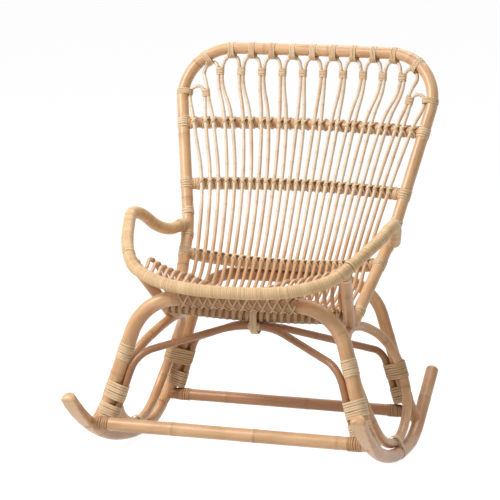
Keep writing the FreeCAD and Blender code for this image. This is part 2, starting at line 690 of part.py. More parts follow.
post_foot = Vector(loop_seat.x, size["post_foot_y"], loop_seat.z)
post_top = place_on(rim_wire, lambda point: point.y, size["post_top_y"])[0]
post_wire = Part.Wire(line(post_foot, post_top))
right_post = coped(pipe(post_wire, size["post_radius"]), right_loop_room, pipe(rim_wire, hoop_outer + gap),
                   pipe(arm_wire, hoop_outer + gap))
feature("right_side_post", right_post)
feature("left_side_post", twin(right_post))

seat_rail_end = at_height(post_foot, post_top, size["seat_rail_z"] + size["seat_rail_rise"])
seat_rail_middle = Vector(0, size["seat_rail_y"], size["seat_rail_z"])
seat_rail_arc = Part.Arc(seat_rail_end, seat_rail_middle, mirrored([seat_rail_end])[0])
seat_rail_wire = Part.Wire(seat_rail_arc.toShape())
right_post_room = pipe(post_wire, size["post_radius"] + gap)
seat_rail = coped(pipe(seat_rail_wire, size["seat_rail_radius"]), right_post_room, twin(right_post_room))
feature("seat_rail", seat_rail)


# Braces from the legs to the middle of the seat rail

class Leg:
    """The straight right leg of an arch."""

    def __init__(self, foot_y, top_y, top_z, shoulder, radius):
        self.radius = radius
        self.foot = Vector(runner_x(foot_y) - size["arch_inset"], foot_y, runner_z(foot_y))
        self.top = Vector(shoulder / 2, top_y, top_z)
        self.along = (self.top - self.foot).normalize()
        self.inward = (Vector(-1, 0, 0) + self.along * self.along.x).normalize()

    def at(self, z):
        return at_height(self.foot, self.top, z)


front_leg = Leg(size["front_foot_y"], size["front_top_y"], size["front_top_z"], size["front_shoulder"],
                size["front_radius"])
rear_leg = Leg(size["rear_y"], size["rear_y"], size["rear_top_z"], size["rear_shoulder"], size["rear_radius"])
brace_z = (size["seat_rail_z"] - size["seat_rail_radius"] - size["brace_radius"]
           - 2 * gap - 2 * size["cane_radius"])


def make_brace(label, leg, foot_z, knee_z, bend, side):
    """A thin pole beside both legs of an arch that rises to the middle of the seat rail."""
    apex_y = size["seat_rail_y"] + side * (size["brace_radius"] + gap / 2)
    beside = leg.radius + size["brace_radius"] + gap
    half = [leg.at(z) + leg.inward * beside for z in (foot_z, knee_z)]
    half.append(Vector(size["brace_flat"] / 2, apex_y, brace_z))
    line = rounded(half + mirrored(half)[::-1], {1: bend, 4: bend})
    feature(label, pipe(line, size["brace_radius"]))


make_brace("front_brace", front_leg, size["front_brace_foot_z"], size["front_brace_knee_z"],
           size["front_brace_bend"], -1)
make_brace("rear_brace", rear_leg, size["rear_brace_foot_z"], size["rear_brace_knee_z"],
           size["rear_brace_bend"], 1)


# Rod loops of the seat and back

def loop_x(loop, side, pitch, pair=None):
    """Distance from the middle plane of the rod on one side of a loop, for a pitch of the loops."""
    return (loop - MIDDLE_LOOP) * pitch + side * (pitch / 2 if pair is None else pair) / 2


def seat_bow(x, pitch):
    """How far out a rod lies on the seat, from 0 in the middle to 1 at the outermost rod."""
    return abs(x) / (pitch * (LOOPS - 0.5) / 2)


def clear_of(rail, x, below, above):
    """Centre of a rod where it crosses in front of a rail, between a lower and a higher rail centre."""
    point, along = rail.at(x)
    front = along.cross(above - below).normalize()
    return point + front * (size["rail_radius"] + size["rod_radius"] + gap)


rod_rise = (size["rim_z"] - size["seat_rail_z"]) / (size["seat_rail_y"] - size["rim_y"])
rod_steepness = math.hypot(1, rod_rise)


def seat_stops(loop, side):
    """Points of a rod from the front rim to the lowest part of the seat."""
    rim_x = loop_x(loop, side, size["rod_pitch_rim"])
    rim, along = place_on(rim_wire, lambda point: -point.x, -rim_x)
    inward = (Vector(0, 0, 1).cross(along)).normalize()
    if inward.y < 0:
        inward = inward * -1
    over_arch = Vector(rim_x, size["front_top_y"], size["front_top_z"])
    over_arch += Vector(0, rim.y - size["rim_y"], rim.z - size["rim_z"])
    over_arch.z += (size["front_radius"] + size["rod_radius"] + gap) * rod_steepness
    seat_x = loop_x(loop, side, size["rod_pitch_seat"])
    bow = seat_bow(seat_x, size["rod_pitch_seat"])
    over_arch.z += size["seat_side_rim"] * min(1, bow / RIM_SHARE) ** 2
    touch = rim + inward * (hoop_outer + gap)
    skew = (touch - over_arch).normalize().cross(inward).Length
    end = touch + inward * (size["rod_radius"] * skew)
    rail_top = place_on(seat_rail_wire, lambda point: -point.x, -seat_x)[0]
    rail_top.z += (size["seat_rail_radius"] + size["rod_radius"] + gap) * rod_steepness
    outer = max(0, (bow - FLAT_SHARE) / (1 - FLAT_SHARE))
    over_rail = rail_top + Vector(0, 0, size["seat_side_front"] * outer ** 2)
    lowest = Vector(seat_x, size["seat_low_y"], size["seat_low_z"] + size["seat_side_low"] * bow ** 3)
    return [end, over_arch, over_rail, lowest]


def back_pitch(name):
    """Distance between rod loops at a back rail, and between a loop's two rods if it has a size of its own."""
    outermost = rails[name].end.x - size["rod_room_" + name]
    if name == "upper":
        pair = size["rod_pair_upper"]
        return (outermost - pair / 2) / (MIDDLE_LOOP - 1), pair
    return outermost * 2 / (LOOPS - 0.5), None


def back_stops(loop, side, lowest):
    """Points of a rod where it crosses the three back rails."""
    pitches = {name: back_pitch(name) for name in ("lower", "middle", "upper")}
    xs = {name: loop_x(loop, side, *pitches[name]) for name in pitches}
    centres = [lowest] + [rails[name].at(xs[name])[0] for name in pitches]
    centres.append(frame_top(0)[0])
    centres[-1].x = xs["upper"]
    crossings = zip(pitches, centres, centres[2:])
    return [clear_of(rails[name], xs[name], below, above) for name, below, above in crossings]


def top_x(loop):
    """Distance from the middle plane to a loop's tie on the frame, with the outermost two set apart."""
    x = (loop - MIDDLE_LOOP) * size["rod_pitch_top"]
    if loop in (2, LOOPS - 1):
        x += math.copysign(size["rod_pitch_outer"] - size["rod_pitch_top"], x)
    return x


def loop_top(loop):
    """Highest point of a loop under the frame's top, and the direction in which the rod passes it."""
    place, along = frame_top(top_x(loop))
    up = (frame_top(0)[0] - rails["upper"].middle).normalize()
    inward = along.cross(up).cross(along).normalize() * -1
    return place + inward * (size["frame_radius"] + size["rod_radius"] + gap), along


def back_point(x, z):
    """A rod's centre on the curved back between the upper rail and the frame's top."""
    rail = rails["upper"]
    low = clear_of(rail, x, rails["middle"].at(x)[0], Vector(x, size["frame_top_y"], size["frame_top_z"]))
    bow = size["frame_bow"] * (1 - (x / frame_corner.x) ** 2)
    high = Vector(x, size["frame_top_y"] + bow, size["frame_top_z"])
    return low + (high - low) * ((z - low.z) / (high.z - low.z))


rise = (frame_middle - rails["upper"].middle).normalize()
beside_frame = size["frame_radius"] + size["rod_radius"] + gap
beside_rod = size["rod_radius"] + gap / 2
top_z = size["frame_top_z"] - beside_frame * rise.z
end_top_z = top_z - size["end_loop_drop"]
end_touch_z = end_top_z - size["end_loop_width"] / 2


def side_touch():
    """Centre of the outermost rod where it lies against the frame's right side, and its direction."""
    place, along = frame_side(end_touch_z)
    inward = (Vector(-1, 0, 0) + along * along.x).normalize()
    return place + inward * beside_frame, along


end_outer = side_touch()[0].x
end_neck_x = end_outer - size["end_loop_width"] - beside_rod


def neck(gap_number):
    """Point between the two rods that are tied together above the upper rail, counted from the left."""
    if gap_number in (1, LOOPS - 1):
        side = -1 if gap_number == 1 else 1
        return back_point(side * end_neck_x, end_touch_z)
    return back_point((gap_number + 0.5 - MIDDLE_LOOP) * size["rod_pitch_top"], top_z - size["neck_drop"])


def crown(loop):
    """Stops over the top of a loop: the left rod's neck, the highest point and the right rod's neck."""
    aside = Vector(beside_rod, 0, 0)
    outer_aside = Vector(beside_rod * math.sqrt(1 + OUTWARD ** 2), 0, 0)
    if loop in (1, 2, LOOPS - 1, LOOPS):
        aside = outer_aside
    stops = {-1: (neck(loop - 1) + aside, rise) if loop > 1 else None,
             1: (neck(loop) - aside, rise) if loop < LOOPS else None}
    if loop in (1, LOOPS):
        side = -1 if loop == 1 else 1
        place, along = side_touch()
        stops[side] = (Vector(side * place.x, place.y, place.z), Vector(side * along.x, along.y, along.z))
        stops[-side] = (stops[-side][0], (rise + Vector(side * OUTWARD, 0, 0)).normalize())
        middle = back_point(side * (end_outer - size["end_loop_width"] / 2), end_top_z)
        return stops[-1], (middle, Vector(1, 0, 0)), stops[1]
    if loop in (2, LOOPS - 1):
        side = -1 if loop == 2 else 1
        stops[side] = (stops[side][0], (rise + Vector(side * OUTWARD, 0, 0)).normalize())
    return stops[-1], loop_top(loop), stops[1]


def rod(loop, side, last, top):
    """Stops of one rod of a loop from the front rim up to its neck."""
    seat = seat_stops(loop, side)
    points = seat + back_stops(loop, side, seat[-1]) + [last[0], top[0]]
    return with_headings(points)[:-2] + [last]


rods = {}
for loop in range(1, LOOPS + 1):
    left_neck, top, right_neck = crown(loop)
    rods[loop, -1] = rod(loop, -1, left_neck, top)
    rods[loop, 1] = rod(loop, 1, right_neck, top)
    down = [(point, heading * -1) for point, heading in rods[loop, 1][::-1]]
    feature("spindle_loop_%02d" % loop, pipe(flowing(rods[loop, -1] + [top] + down), size["rod_radius"]))


# Cane bindings on the legs and cuffs on the stretchers

band_length = size["band_turns"] * size["cane_pitch"] + 2 * size["cane_radius"]


def leg_binding(label, leg, z, braced):
    """A binding round a leg, or round a leg and the brace beside it."""
    reach = 2 * size["brace_radius"] + gap if braced else 0
    return winding(label, leg.at(z) + leg.inward * (reach / 2), leg.along, leg.inward, reach,
                   leg.radius, size["binding_turns"])


front_bindings = Part.makeCompound([
    leg_binding("front_leg_bindings", front_leg, size["front_binding_high_z"], False),
    leg_binding("front_leg_bindings", front_leg, size["front_binding_low_z"], True),
    leg_binding("front_leg_bindings", front_leg, size["front_binding_foot_z"], True)])
rear_bindings = Part.makeCompound([
    leg_binding("rear_leg_bindings", rear_leg, size["rear_binding_high_z"], True),
    leg_binding("rear_leg_bindings", rear_leg, size["rear_binding_low_z"], True)])
feature("right_front_leg_bindings", front_bindings)
feature("left_front_leg_bindings", twin(front_bindings))
feature("right_rear_leg_bindings", rear_bindings)
feature("left_rear_leg_bindings", twin(rear_bindings))


def make_cuffs(label, x, y, z, radius):
    """A cuff of cane at each end of a stretcher."""
    cuff = winding(label, Vector(x, y, z), Vector(1, 0, 0), Vector(0, 0, 1), 0, radius, size["band_turns"])
    feature(label, Part.makeCompound([cuff, twin(cuff)]))


cuff_gap = size["cane_radius"] + band_length / 2
make_cuffs("front_stretcher_cuffs", runner_x(stretcher_y) - size["runner_radius"] - cuff_gap, stretcher_y,
           runner_z(stretcher_y), size["stretcher_front"])
cuff_top = size["stretcher_rear_z"] + size["stretcher_rear"] + 2 * size["cane_radius"]
rear_cuff_x = rear_leg.at(cuff_top).x - rear_leg.radius / rear_leg.along.z - cuff_gap
make_cuffs("rear_stretcher_cuffs", rear_cuff_x,
           size["rear_y"], size["stretcher_rear_z"], size["stretcher_rear"])


# Cane bands on the back frame beside the joints of rails and arms

def frame_band(label, z):
    """A band of cane round the right side of the back frame."""
    place, along = frame_side(z)
    return winding(label, place, along, Vector(1, 0, 0), 0, size["frame_radius"], size["band_turns"])


for name, rail in rails.items():
    label = name + "_rail_bands"
    beside = size["rail_radius"] + size["cane_radius"] + band_length / 2
    bands = [frame_band(label, rail.end.z - beside), frame_band(label, rail.end.z + beside)]
    feature(label, Part.makeCompound(bands + [twin(band) for band in bands]))
arm_band = frame_band("arm_joint_bands", arm_joint.z + hoop_outer + cuff_gap)
feature("arm_joint_bands", Part.makeCompound([arm_band, twin(arm_band)]))


# Ties of the braces, loop tops and necks

tie_reach = 2 * size["rod_radius"] + 14 * gap
brace_tie = winding("brace_tie", Vector(0, size["seat_rail_y"], brace_z), Vector(1, 0, 0), Vector(0, 1, 0),
                    2 * size["brace_radius"] + gap, size["brace_radius"], size["band_turns"])
feature("brace_tie", brace_tie)


def frame_tie(place, along, inward):
    """A tie round the back frame and the rod that lies against it."""
    inward = Vector(inward).normalize()
    return winding("top_ties", place + inward * (tie_reach / 2), along, inward, tie_reach,
                   size["frame_radius"], size["tie_turns"])


top_ties = []
for loop in range(2, LOOPS):
    place, along = frame_top(top_x(loop))
    top_ties.append(frame_tie(place, along, loop_top(loop)[0] - place))
touch_place, touch_along = frame_side(end_touch_z)
end_tie = frame_tie(touch_place, touch_along, side_touch()[0] - touch_place)
feature("top_ties", Part.makeCompound(top_ties + [end_tie, twin(end_tie)]))


def neck_tie(number):
    """A tie round the two rods that meet at a neck."""
    outward = {1: -OUTWARD, LOOPS - 1: OUTWARD}.get(number, 0)
    along = (rise + Vector(outward, 0, 0)).normalize()
    across = (Vector(1, 0, 0) - along * along.x).normalize()
    return winding("neck_ties", neck(number), along, across, 2 * beside_rod,
                   size["rod_radius"] + 2 * gap, size["tie_turns"])


feature("neck_ties", Part.makeCompound([neck_tie(number) for number in range(1, LOOPS)]))


# Lashings that hold the rods to the rails

def lashing(stop, rail_point, rail_along, rail_radius):
    """A strap over a rod with its ends on the rail behind the rod."""
    place, heading = stop
    width = size["lashing_width"]
    base = place - heading * (width / 2)
    inner = size["rod_radius"] + gap
    strap = Part.makeCylinder(inner + size["lashing_wall"], width, base, heading)
    hole = Part.makeCylinder(inner, width, base, heading)
    length = 8 * size["rod_radius"]
    rail = Part.makeCylinder(rail_radius + gap, length, rail_point - rail_along * (length / 2), rail_along)
    return coped(strap, hole, rail)


for index, name in enumerate(("lower", "middle", "upper"), start=FIRST_BACK_STOP):
    straps = []
    for stops in rods.values():
        near = rails[name].at(stops[index][0].x)
        shift = (stops[index][0] - near[0]).dot(near[1])
        point, along = rails[name].at(stops[index][0].x + shift * near[1].x)
        straps.append(lashing(stops[index], point, along, size["rail_radius"]))
    feature(name + "_rail_lashings", Part.makeCompound(straps))

straps = []
for stops in rods.values():
    x = stops[SEAT_RAIL_STOP][0].x
    point, along = place_on(seat_rail_wire, lambda place: -place.x, -x)
    if seat_bow(x, size["rod_pitch_seat"]) <= FLAT_SHARE:
        straps.append(lashing(stops[SEAT_RAIL_STOP], point, along, size["seat_rail_radius"]))
feature("seat_rail_lashings", Part.makeCompound(straps))


# Straps that hold the side loops down on the runners

strap_outer = size["loop_radius"] + gap + size["lashing_wall"]
strap_base = Vector(loop_foot_x, size["loop_foot_y"] - size["lashing_width"], loop_foot_z)
strap = Part.makeCylinder(strap_outer, 2 * size["lashing_width"], strap_base, Vector(0, 1, 0))
loop_strap = coped(strap, right_loop_room, room.Shape)
feature("side_loop_straps", Part.makeCompound([loop_strap, twin(loop_strap)]))


# Zigzag lacing under the rods behind the front rim

def lacing_points():
    """Points under the rods, in turn beside the rim and beside the front arch."""
    points = []
    for loop in range(LACED_FIRST, LOOPS + 1 - LACED_FIRST + 1):
        for side in (-1, 1):
            end, over = (stop[0] for stop in rods[loop, side][:2])
            share = LACE_SHARES[len(points) % 2]
            under = Vector(0, 0, size["rod_radius"] + gap + size["cane_radius"])
            points.append(end + (over - end) * share - under)
    return points


feature("rim_lacing", pipe(rounded(lacing_points()), size["cane_radius"]))


# Checks and files

doc.recompute()
for item in doc.Objects:
    if "Invalid" in item.State or "Error" in item.State:
        raise RuntimeError("%s failed: %s" % (item.Label, item.State))
for node in nodes:
    if node.Shape.isNull() or not node.Shape.isValid():
        raise RuntimeError("%s has no valid shape" % node.Label)
for label, free in least_gaps.items():
    print("%s: least gap between turns %.2f mm" % (label, free))
os.makedirs("parts", exist_ok=True)
for node in nodes:
    node.Shape.exportStep("parts/%s.step" % node.Label)
print("%d nodes, %d solids" % (len(nodes), sum(len(node.Shape.Solids) for node in nodes)))
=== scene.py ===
import math
from types import SimpleNamespace

import bpy
import numpy as np
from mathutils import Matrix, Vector


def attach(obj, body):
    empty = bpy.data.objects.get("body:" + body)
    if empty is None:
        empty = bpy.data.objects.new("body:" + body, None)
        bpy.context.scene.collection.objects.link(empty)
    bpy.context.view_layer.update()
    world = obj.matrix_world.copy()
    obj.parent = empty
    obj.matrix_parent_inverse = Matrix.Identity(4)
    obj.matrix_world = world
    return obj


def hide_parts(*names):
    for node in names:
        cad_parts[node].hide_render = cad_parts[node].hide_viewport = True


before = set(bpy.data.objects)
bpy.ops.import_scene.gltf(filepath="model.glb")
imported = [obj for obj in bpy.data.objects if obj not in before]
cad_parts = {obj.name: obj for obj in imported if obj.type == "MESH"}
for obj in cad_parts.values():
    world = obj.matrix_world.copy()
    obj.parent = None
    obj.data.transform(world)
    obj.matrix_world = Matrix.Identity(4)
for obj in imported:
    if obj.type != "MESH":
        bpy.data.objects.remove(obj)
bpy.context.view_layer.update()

# Looks of a rattan rocking chair. X runs across the chair, the sitter faces -Y, Z is up, all in metres.

bl_info = {
    "name": "Rattan rocking chair",
    "version": (1, 0, 0),
    "blender": (4, 5, 0),
    "location": "3D View > Sidebar > Chair",
    "description": "Poles, rods and cane of a rattan rocking chair on its packed frame",
    "category": "Add Mesh",
}

# Numbers of loops, stops and points, and shares that the lines follow
LOOPS = 13
MIDDLE_LOOP = 7
SEAT_RAIL_STOP = 2
FIRST_BACK_STOP = 4
ARC_POINTS = 33
RUNNER_POINTS = 400
RAIL_POINTS = 200
ANKLE_RADII = 3
CORNER_SHARE = 0.45
FLAT_SHARE = 0.8
RIM_SHARE = 0.5
OUTWARD = 0.2
SIDES = (("right", 1), ("left", -1))
TURN = 2 * math.pi

# Distances between points along bare poles, poles inside a wrapping, wound poles and twisted strips
POLE_STEP = 0.004
CORE_STEP = 0.005
FINE_STEP = 0.002
TWIST_STEP = 0.0012

# Natural poles: the rings' places, swelling, dark mark and notch, slow waves, and rounded ends
USUAL_RADIUS = 0.015
RING_GAPS = (0.7, 1.3)
FIRST_RING = (0.2, 0.9)
SWELL_WIDTH = 0.006
MARK_WIDTH = 0.0024
NOTCH_SHARE = 0.55
WAVES = 5
WAVE_RATES = (12, 55)
END_ANGLES = (85, 60, 30)
END_DEPTH = 0.35
END_CUT = 0.6
END_SHIFT = 0.002
LAY_SHIFT = 0.37

# Cane strips: corners of the section as shares of width and thickness, sway, and tucked ends
STRIP = np.array([(-0.3, 1.0), (0.3, 1.0), (0.5, 0.5), (0.46, 0.0), (-0.46, 0.0), (-0.5, 0.5)])
LAY_ROOM = 9
SWAY = 0.08
SWAY_RATES = (9, 30)
TUCK_RADII = 3
TUCK_DEPTH = 1.2
CLOSE_SHARE = 0.97
# Painted shade in the groove between wound turns: the range of its darkness for each turn, and the power that
# narrows it
GROOVE_SHADES = (0.4, 1.0)
GROOVE_SHADE_POWER = 1.5
WOUND_UNEVEN = 0.25

# Crossed lashings: points, half angle in front of the rail, play, smoothing and lean
LASHING_POINTS = 57
LASHING_FRONT = math.radians(50)
RAIL_PLAY = 0.0002
ROD_PLAY = 0.0003
SMOOTHING = (0.15, 0.2, 0.3, 0.2, 0.15)
LASHING_LEAN = 0.6

# Tones from light at 0 to dark at 1, their spread, and the painted shade on the seat rods and on the arches'
# laced middles
# Pole tones are partly painted light and shade: the runners and side loops are set darker and the frame
# lighter, as with light from above, and the runner side term makes the right runner darker than the left as
# painted shade
TONE = SimpleNamespace(
    runner=0.7, runner_side=0.2, front_arch=0.42, rear_arch=0.75, front_stretcher=0.26, rear_stretcher=0.1,
    side_loop=0.72, frame=0.22, rail=0.62, post=0.45, seat_rail=0.5, brace=0.3, rod=0.22, core=0.5, strip=0.5,
    wound=0.55)
POLE_SPREAD = 0.12
STRIP_SPREAD = 0.3
# Painted shade on the seat part of the rods, which lie in shade over one another and under the rim: its
# strength, where it starts along Y and the run over which it grows
SEAT_SHADE = 0.85
SEAT_SHADE_START = 0.17
SEAT_SHADE_RUN = 0.07
# Painted shade on the arches' middles under the rim and the seat: its strength in the tone and ring marks,
# its half width across and its fade
LACED_SHADE = 0.8
LACED_SHADE_HALF = 0.16
LACED_SHADE_FADE = 0.03

# Seeds of the natural unevenness: one for each piece, or the first of a group
SEED = SimpleNamespace(
    runner=11, front_arch=21, rear_arch=22, rear_stretcher=28, front_stretcher=29, side_loop=31, strap=37,
    frame=41, rail=42, post=51, seat_rail=53, brace=54, arm_wrap=61, arm=64, rim_wrap=67, rim=68, rod=100,
    binding=200, brace_tie=300, top_tie=310, end_tie=330, neck_tie=340, lashing=400, each_rail=30,
    seat_lashing=600, twist=640, lace=700, zigzag=720, collar=730)

# Stage: lamps as place, size and power, the point that they face, other light, and the camera
LAMPS = {"key_light": ((-2.5, -2.3, 3.3), 1.6, 172),
         "fill_light": ((2.4, -2.9, 1.6), 2.4, 6),
         "top_light": ((0.2, 1.4, 3.2), 2.0, 55)}
LAMP_AIM = (0, 0, 0.45)
WHITE = (1, 1, 1, 1)
WORLD_COLOUR = (1.0, 0.99, 0.97, 1)
WORLD_STRENGTH = 0.27
FLOOR_REACH = 40.0
FLOOR_GLOW = 1.28
FLOOR_GLOW_SHARE = 0.72
CAMERA_TARGET = (0, -0.147, 0.488)
CAMERA_AWAY = (1.9237, -5.5869, 1.0418)
CAMERA_LENS = 190.1
CAMERA_SENSOR = 36.0


# Settings

def length(name, metres, text):
    return bpy.props.FloatProperty(name=name, description=text, default=metres, unit="LENGTH", precision=4)


def slope(name, degrees, text):
    angle = math.radians(degrees)
    return bpy.props.FloatProperty(name=name, description=text, default=angle, subtype="ANGLE")


def count(name, number, text):
    return bpy.props.IntProperty(name=name, description=text, default=number, min=1)


def share(name, part, text):
    return bpy.props.FloatProperty(name=name, description=text, default=part, subtype="FACTOR", min=0, max=1)


def colour(name, red, green, blue, text):
    return bpy.props.FloatVectorProperty(
        name=name, description=text, default=(red, green, blue), subtype="COLOR", size=3, min=0, max=1)


class ChairSizes(bpy.types.PropertyGroup):
    """Sizes of the poles and of the lines that they follow."""
    fit_gap: length("Fit gap", 0.0003, "Clearance where one pole is coped round another")
    runner_radius: length("Runner radius", 0.015, "Radius of the runner poles")
    runner_arc: length("Runner arc", 0.62, "Radius of a runner's line up to its rear bend")
    runner_bend_y: length("Runner bend y", 0.045, "Start of a runner's rear bend along Y")
    runner_bend: length("Runner bend", 0.18, "Radius of that bend")
    runner_rise: slope("Runner rise", 36, "Slope of a runner's straight rear end")
    runner_front_y: length("Runner front y", -0.415, "Front tips of the runners along Y")
    runner_rear_y: length("Runner rear y", 0.268, "Rear tips of the runners along Y")
    runner_spacing: length("Runner spacing", 0.654, "Distance between the runners at the floor")
    runner_toe: slope("Runner toe", 1.5, "Angle by which each runner opens towards the front")
    front_radius: length("Front radius", 0.0175, "Radius of the front arch")
    rear_radius: length("Rear radius", 0.0145, "Radius of the rear arch")
    arch_inset: length("Arch inset", 0.012, "Feet of the arches inside the runners' centre lines")
    front_foot_y: length("Front foot y", -0.269, "Front feet along Y")
    front_top_y: length("Front top y", -0.224, "Top of the front arch along Y")
    front_top_z: length("Front top z", 0.382, "Top of the front arch above the floor")
    front_shoulder: length("Front shoulder", 0.458, "Width where the front arch's sides would meet its top")
    front_bend: length("Front bend", 0.12, "Bend radius of the front arch's shoulders")
    rear_y: length("Rear y", 0.133, "Rear arch along Y")
    rear_top_z: length("Rear top z", 0.377, "Top of the rear arch above the floor")
    rear_shoulder: length("Rear shoulder", 0.418, "Width where the rear arch's sides would meet its top")
    rear_bend: length("Rear bend", 0.11, "Bend radius of the rear arch's shoulders")
    stretcher_front: length("Stretcher front", 0.0152, "Radius of the front stretcher")
    stretcher_room: length("Stretcher room", 0.006, "Room between front stretcher and front feet")
    stretcher_rear: length("Stretcher rear", 0.0138, "Radius of the rear stretcher")
    stretcher_rear_z: length("Stretcher rear z", 0.071, "Rear stretcher above the floor")
    frame_radius: length("Frame radius", 0.014, "Radius of the back frame pole")
    frame_top_z: length("Frame top z", 0.898, "Centre of the frame's top above the floor")
    frame_top_y: length("Frame top y", 0.308, "Corners of the frame's top along Y")
    frame_top_width: length("Frame top width", 0.674, "Width where the frame's sides would meet its top")
    frame_corner: length("Frame corner", 0.12, "Bend radius of the frame's top corners")
    frame_bow: length("Frame bow", 0.026, "How far the middle of the top bows backwards")
    frame_knee_z: length("Frame knee z", 0.483, "Height of the bend behind the arms")
    frame_knee_y: length("Frame knee y", 0.135, "Bend behind the arms along Y")
    frame_knee_width: length("Frame knee width", 0.506, "Width of the frame at that bend")
    frame_knee_bend: length("Frame knee bend", 0.16, "Bend radius behind the arms")
    frame_foot_y: length("Frame foot y", -0.053, "Lower ends of the frame along Y")
    rail_radius: length("Rail radius", 0.013, "Radius of the three back rails")
    upper_rail_z: length("Upper rail z", 0.721, "Ends of the upper rail above the floor")
    upper_rail_bow: length("Upper rail bow", 0.071, "Backward bow of the upper rail")
    middle_rail_z: length("Middle rail z", 0.581, "Ends of the middle rail above the floor")
    middle_rail_bow: length("Middle rail bow", 0.064, "Backward bow of the middle rail")
    lower_rail_z: length("Lower rail z", 0.431, "Ends of the lower rail above the floor")
    lower_rail_bow: length("Lower rail bow", 0.05, "Backward bow of the lower rail")
    rod_radius: length("Rod radius", 0.0044, "Radius of the seat and back rods")
    rod_pitch_top: length("Rod pitch top", 0.0515, "Distance between the arched tops of the rod loops")
    rod_pitch_outer: length("Rod pitch outer", 0.062, "Distance from the outermost tied tops to the next")
    rod_room_upper: length("Rod room upper", 0.0207, "Distance between the outermost rod and the frame")
    rod_pair_upper: length("Rod pair upper", 0.027, "Distance between a loop's two rods at the upper rail")
    rod_room_middle: length("Rod room middle", 0.0322, "Distance between the outermost rod and the frame")
    rod_room_lower: length("Rod room lower", 0.0256, "Distance between the outermost rod and the frame")
    rod_pitch_seat: length("Rod pitch seat", 0.033, "Distance between rod loops on the seat")
    rod_pitch_rim: length("Rod pitch rim", 0.0355, "Distance between rod loops at the front rim")
    neck_drop: length("Neck drop", 0.036, "Neck ties below the arched tops")
    end_loop_drop: length("End loop drop", 0.072, "Tops of the two end loops below the others")
    end_loop_width: length("End loop width", 0.03, "Width of the two end loops")
    seat_low_y: length("Seat low y", 0.024, "Lowest part of the seat along Y")
    seat_low_z: length("Seat low z", 0.346, "Lowest part of the seat above the floor")
    seat_side_low: length("Seat side low", 0.034, "Rise of the seat's sides at its lowest part")
    seat_side_front: length("Seat side front", 0.006, "Rise of the seat's sides over the seat rail")
    seat_side_rim: length("Seat side rim", 0.023, "Rise of the outer rods behind the front rim")
    hoop_radius: length("Hoop radius", 0.0124, "Radius of the arm and rim poles")
    wrap_skin: length("Wrap skin", 0.0015, "Thickness of the cane wound round the arms and rim")
    rim_y: length("Rim y", -0.311, "Middle of the front rim along Y")
    rim_z: length("Rim z", 0.419, "Middle of the front rim above the floor")
    rim_side_width: length("Rim side width", 0.28, "Width of the rim where it starts to rise")
    rim_side_rise: length("Rim side rise", 0.008, "Rise of the rim there")
    rim_side_back: length("Rim side back", 0.009, "How far back the rim is there")
    rim_corner_width: length("Rim corner width", 0.452, "Width of the rim at its front corners")
    rim_corner_rise: length("Rim corner rise", 0.031, "Rise of the rim's front corners")
    rim_corner_back: length("Rim corner back", 0.04, "How far back the rim's front corners are")
    arm_turn_width: length("Arm turn width", 0.524, "Width where the arms leave the rim")
    arm_turn_y: length("Arm turn y", -0.233, "End of the rim along Y, where the arms leave it")
    arm_turn_z: length("Arm turn z", 0.478, "Height where the arms leave the rim")
    arm_rise_width: length("Arm rise width", 0.6, "Width half way up the front of the arms")
    arm_rise_y: length("Arm rise y", -0.138, "That place along Y")
    arm_rise_z: length("Arm rise z", 0.522, "That place above the floor")
    arm_top_width: length("Arm top width", 0.626, "Width over the raised middles of the arms")
    arm_top_y: length("Arm top y", -0.063, "Raised middles of the arms along Y")
    arm_top_z: length("Arm top z", 0.546, "Raised middles of the arms above the floor")
    arm_dip_width: length("Arm dip width", 0.566, "Width at the dips behind the raised middles")
    arm_dip_y: length("Arm dip y", 0.057, "Dips of the arms along Y")
    arm_dip_z: length("Arm dip z", 0.49, "Dips of the arms above the floor")
    arm_joint_rise: length("Arm joint rise", 0.009, "Joint of arm and back frame above the frame's bend")
    post_radius: length("Post radius", 0.0135, "Radius of the side posts")
    post_foot_y: length("Post foot y", -0.076, "Lower ends of the posts along Y")
    post_top_y: length("Post top y", -0.244, "Upper ends of the posts along Y, under the rim")
    seat_rail_radius: length("Seat rail radius", 0.011, "Radius of the rail under the seat")
    seat_rail_y: length("Seat rail y", -0.108, "Middle of the rail under the seat along Y")
    seat_rail_z: length("Seat rail z", 0.328, "Middle of the rail under the seat above the floor")
    seat_rail_rise: length("Seat rail rise", 0.008, "Rise of that rail's ends")
    loop_radius: length("Loop radius", 0.011, "Radius of the side loop poles")
    loop_top_z: length("Loop top z", 0.305, "Top of the side loops above the floor")
    loop_top_width: length("Loop top width", 0.432, "Distance between the side loops at their tops")
    loop_foot_inset: length("Loop foot inset", 0.011, "Feet of the side loops inside the runners' lines")
    loop_foot_y: length("Loop foot y", -0.049, "Lowest part of a side loop along Y")
    loop_top_y: length("Loop top y", -0.059, "Highest part of a side loop along Y")
    loop_bulge: length("Loop bulge", 0.024, "How far a side loop's ends stand out of its plane")
    loop_rear_y: length("Loop rear y", 0.106, "Rearmost part of a side loop along Y")
    loop_front_y: length("Loop front y", -0.215, "Foremost part of a side loop along Y")
    loop_side_z: length("Loop side z", 0.185, "Ends of a side loop above the floor")
    brace_radius: length("Brace radius", 0.0085, "Radius of the two braces")
    brace_flat: length("Brace flat", 0.09, "Straight middle of a brace under the seat rail")
    front_brace_foot_z: length("Front brace foot z", 0.104, "Lower ends of the front brace on the legs")
    front_brace_knee_z: length("Front brace knee z", 0.258, "Bends of the front brace on the legs")
    front_brace_bend: length("Front brace bend", 0.075, "Radius of the front brace's bends")
    rear_brace_foot_z: length("Rear brace foot z", 0.104, "Lower ends of the rear brace on the legs")
    rear_brace_knee_z: length("Rear brace knee z", 0.219, "Bends of the rear brace on the legs")
    rear_brace_bend: length("Rear brace bend", 0.045, "Radius of the rear brace's bends")
    cane_radius: length("Cane radius", 0.0014, "Half the room left for cane under rails and rods")
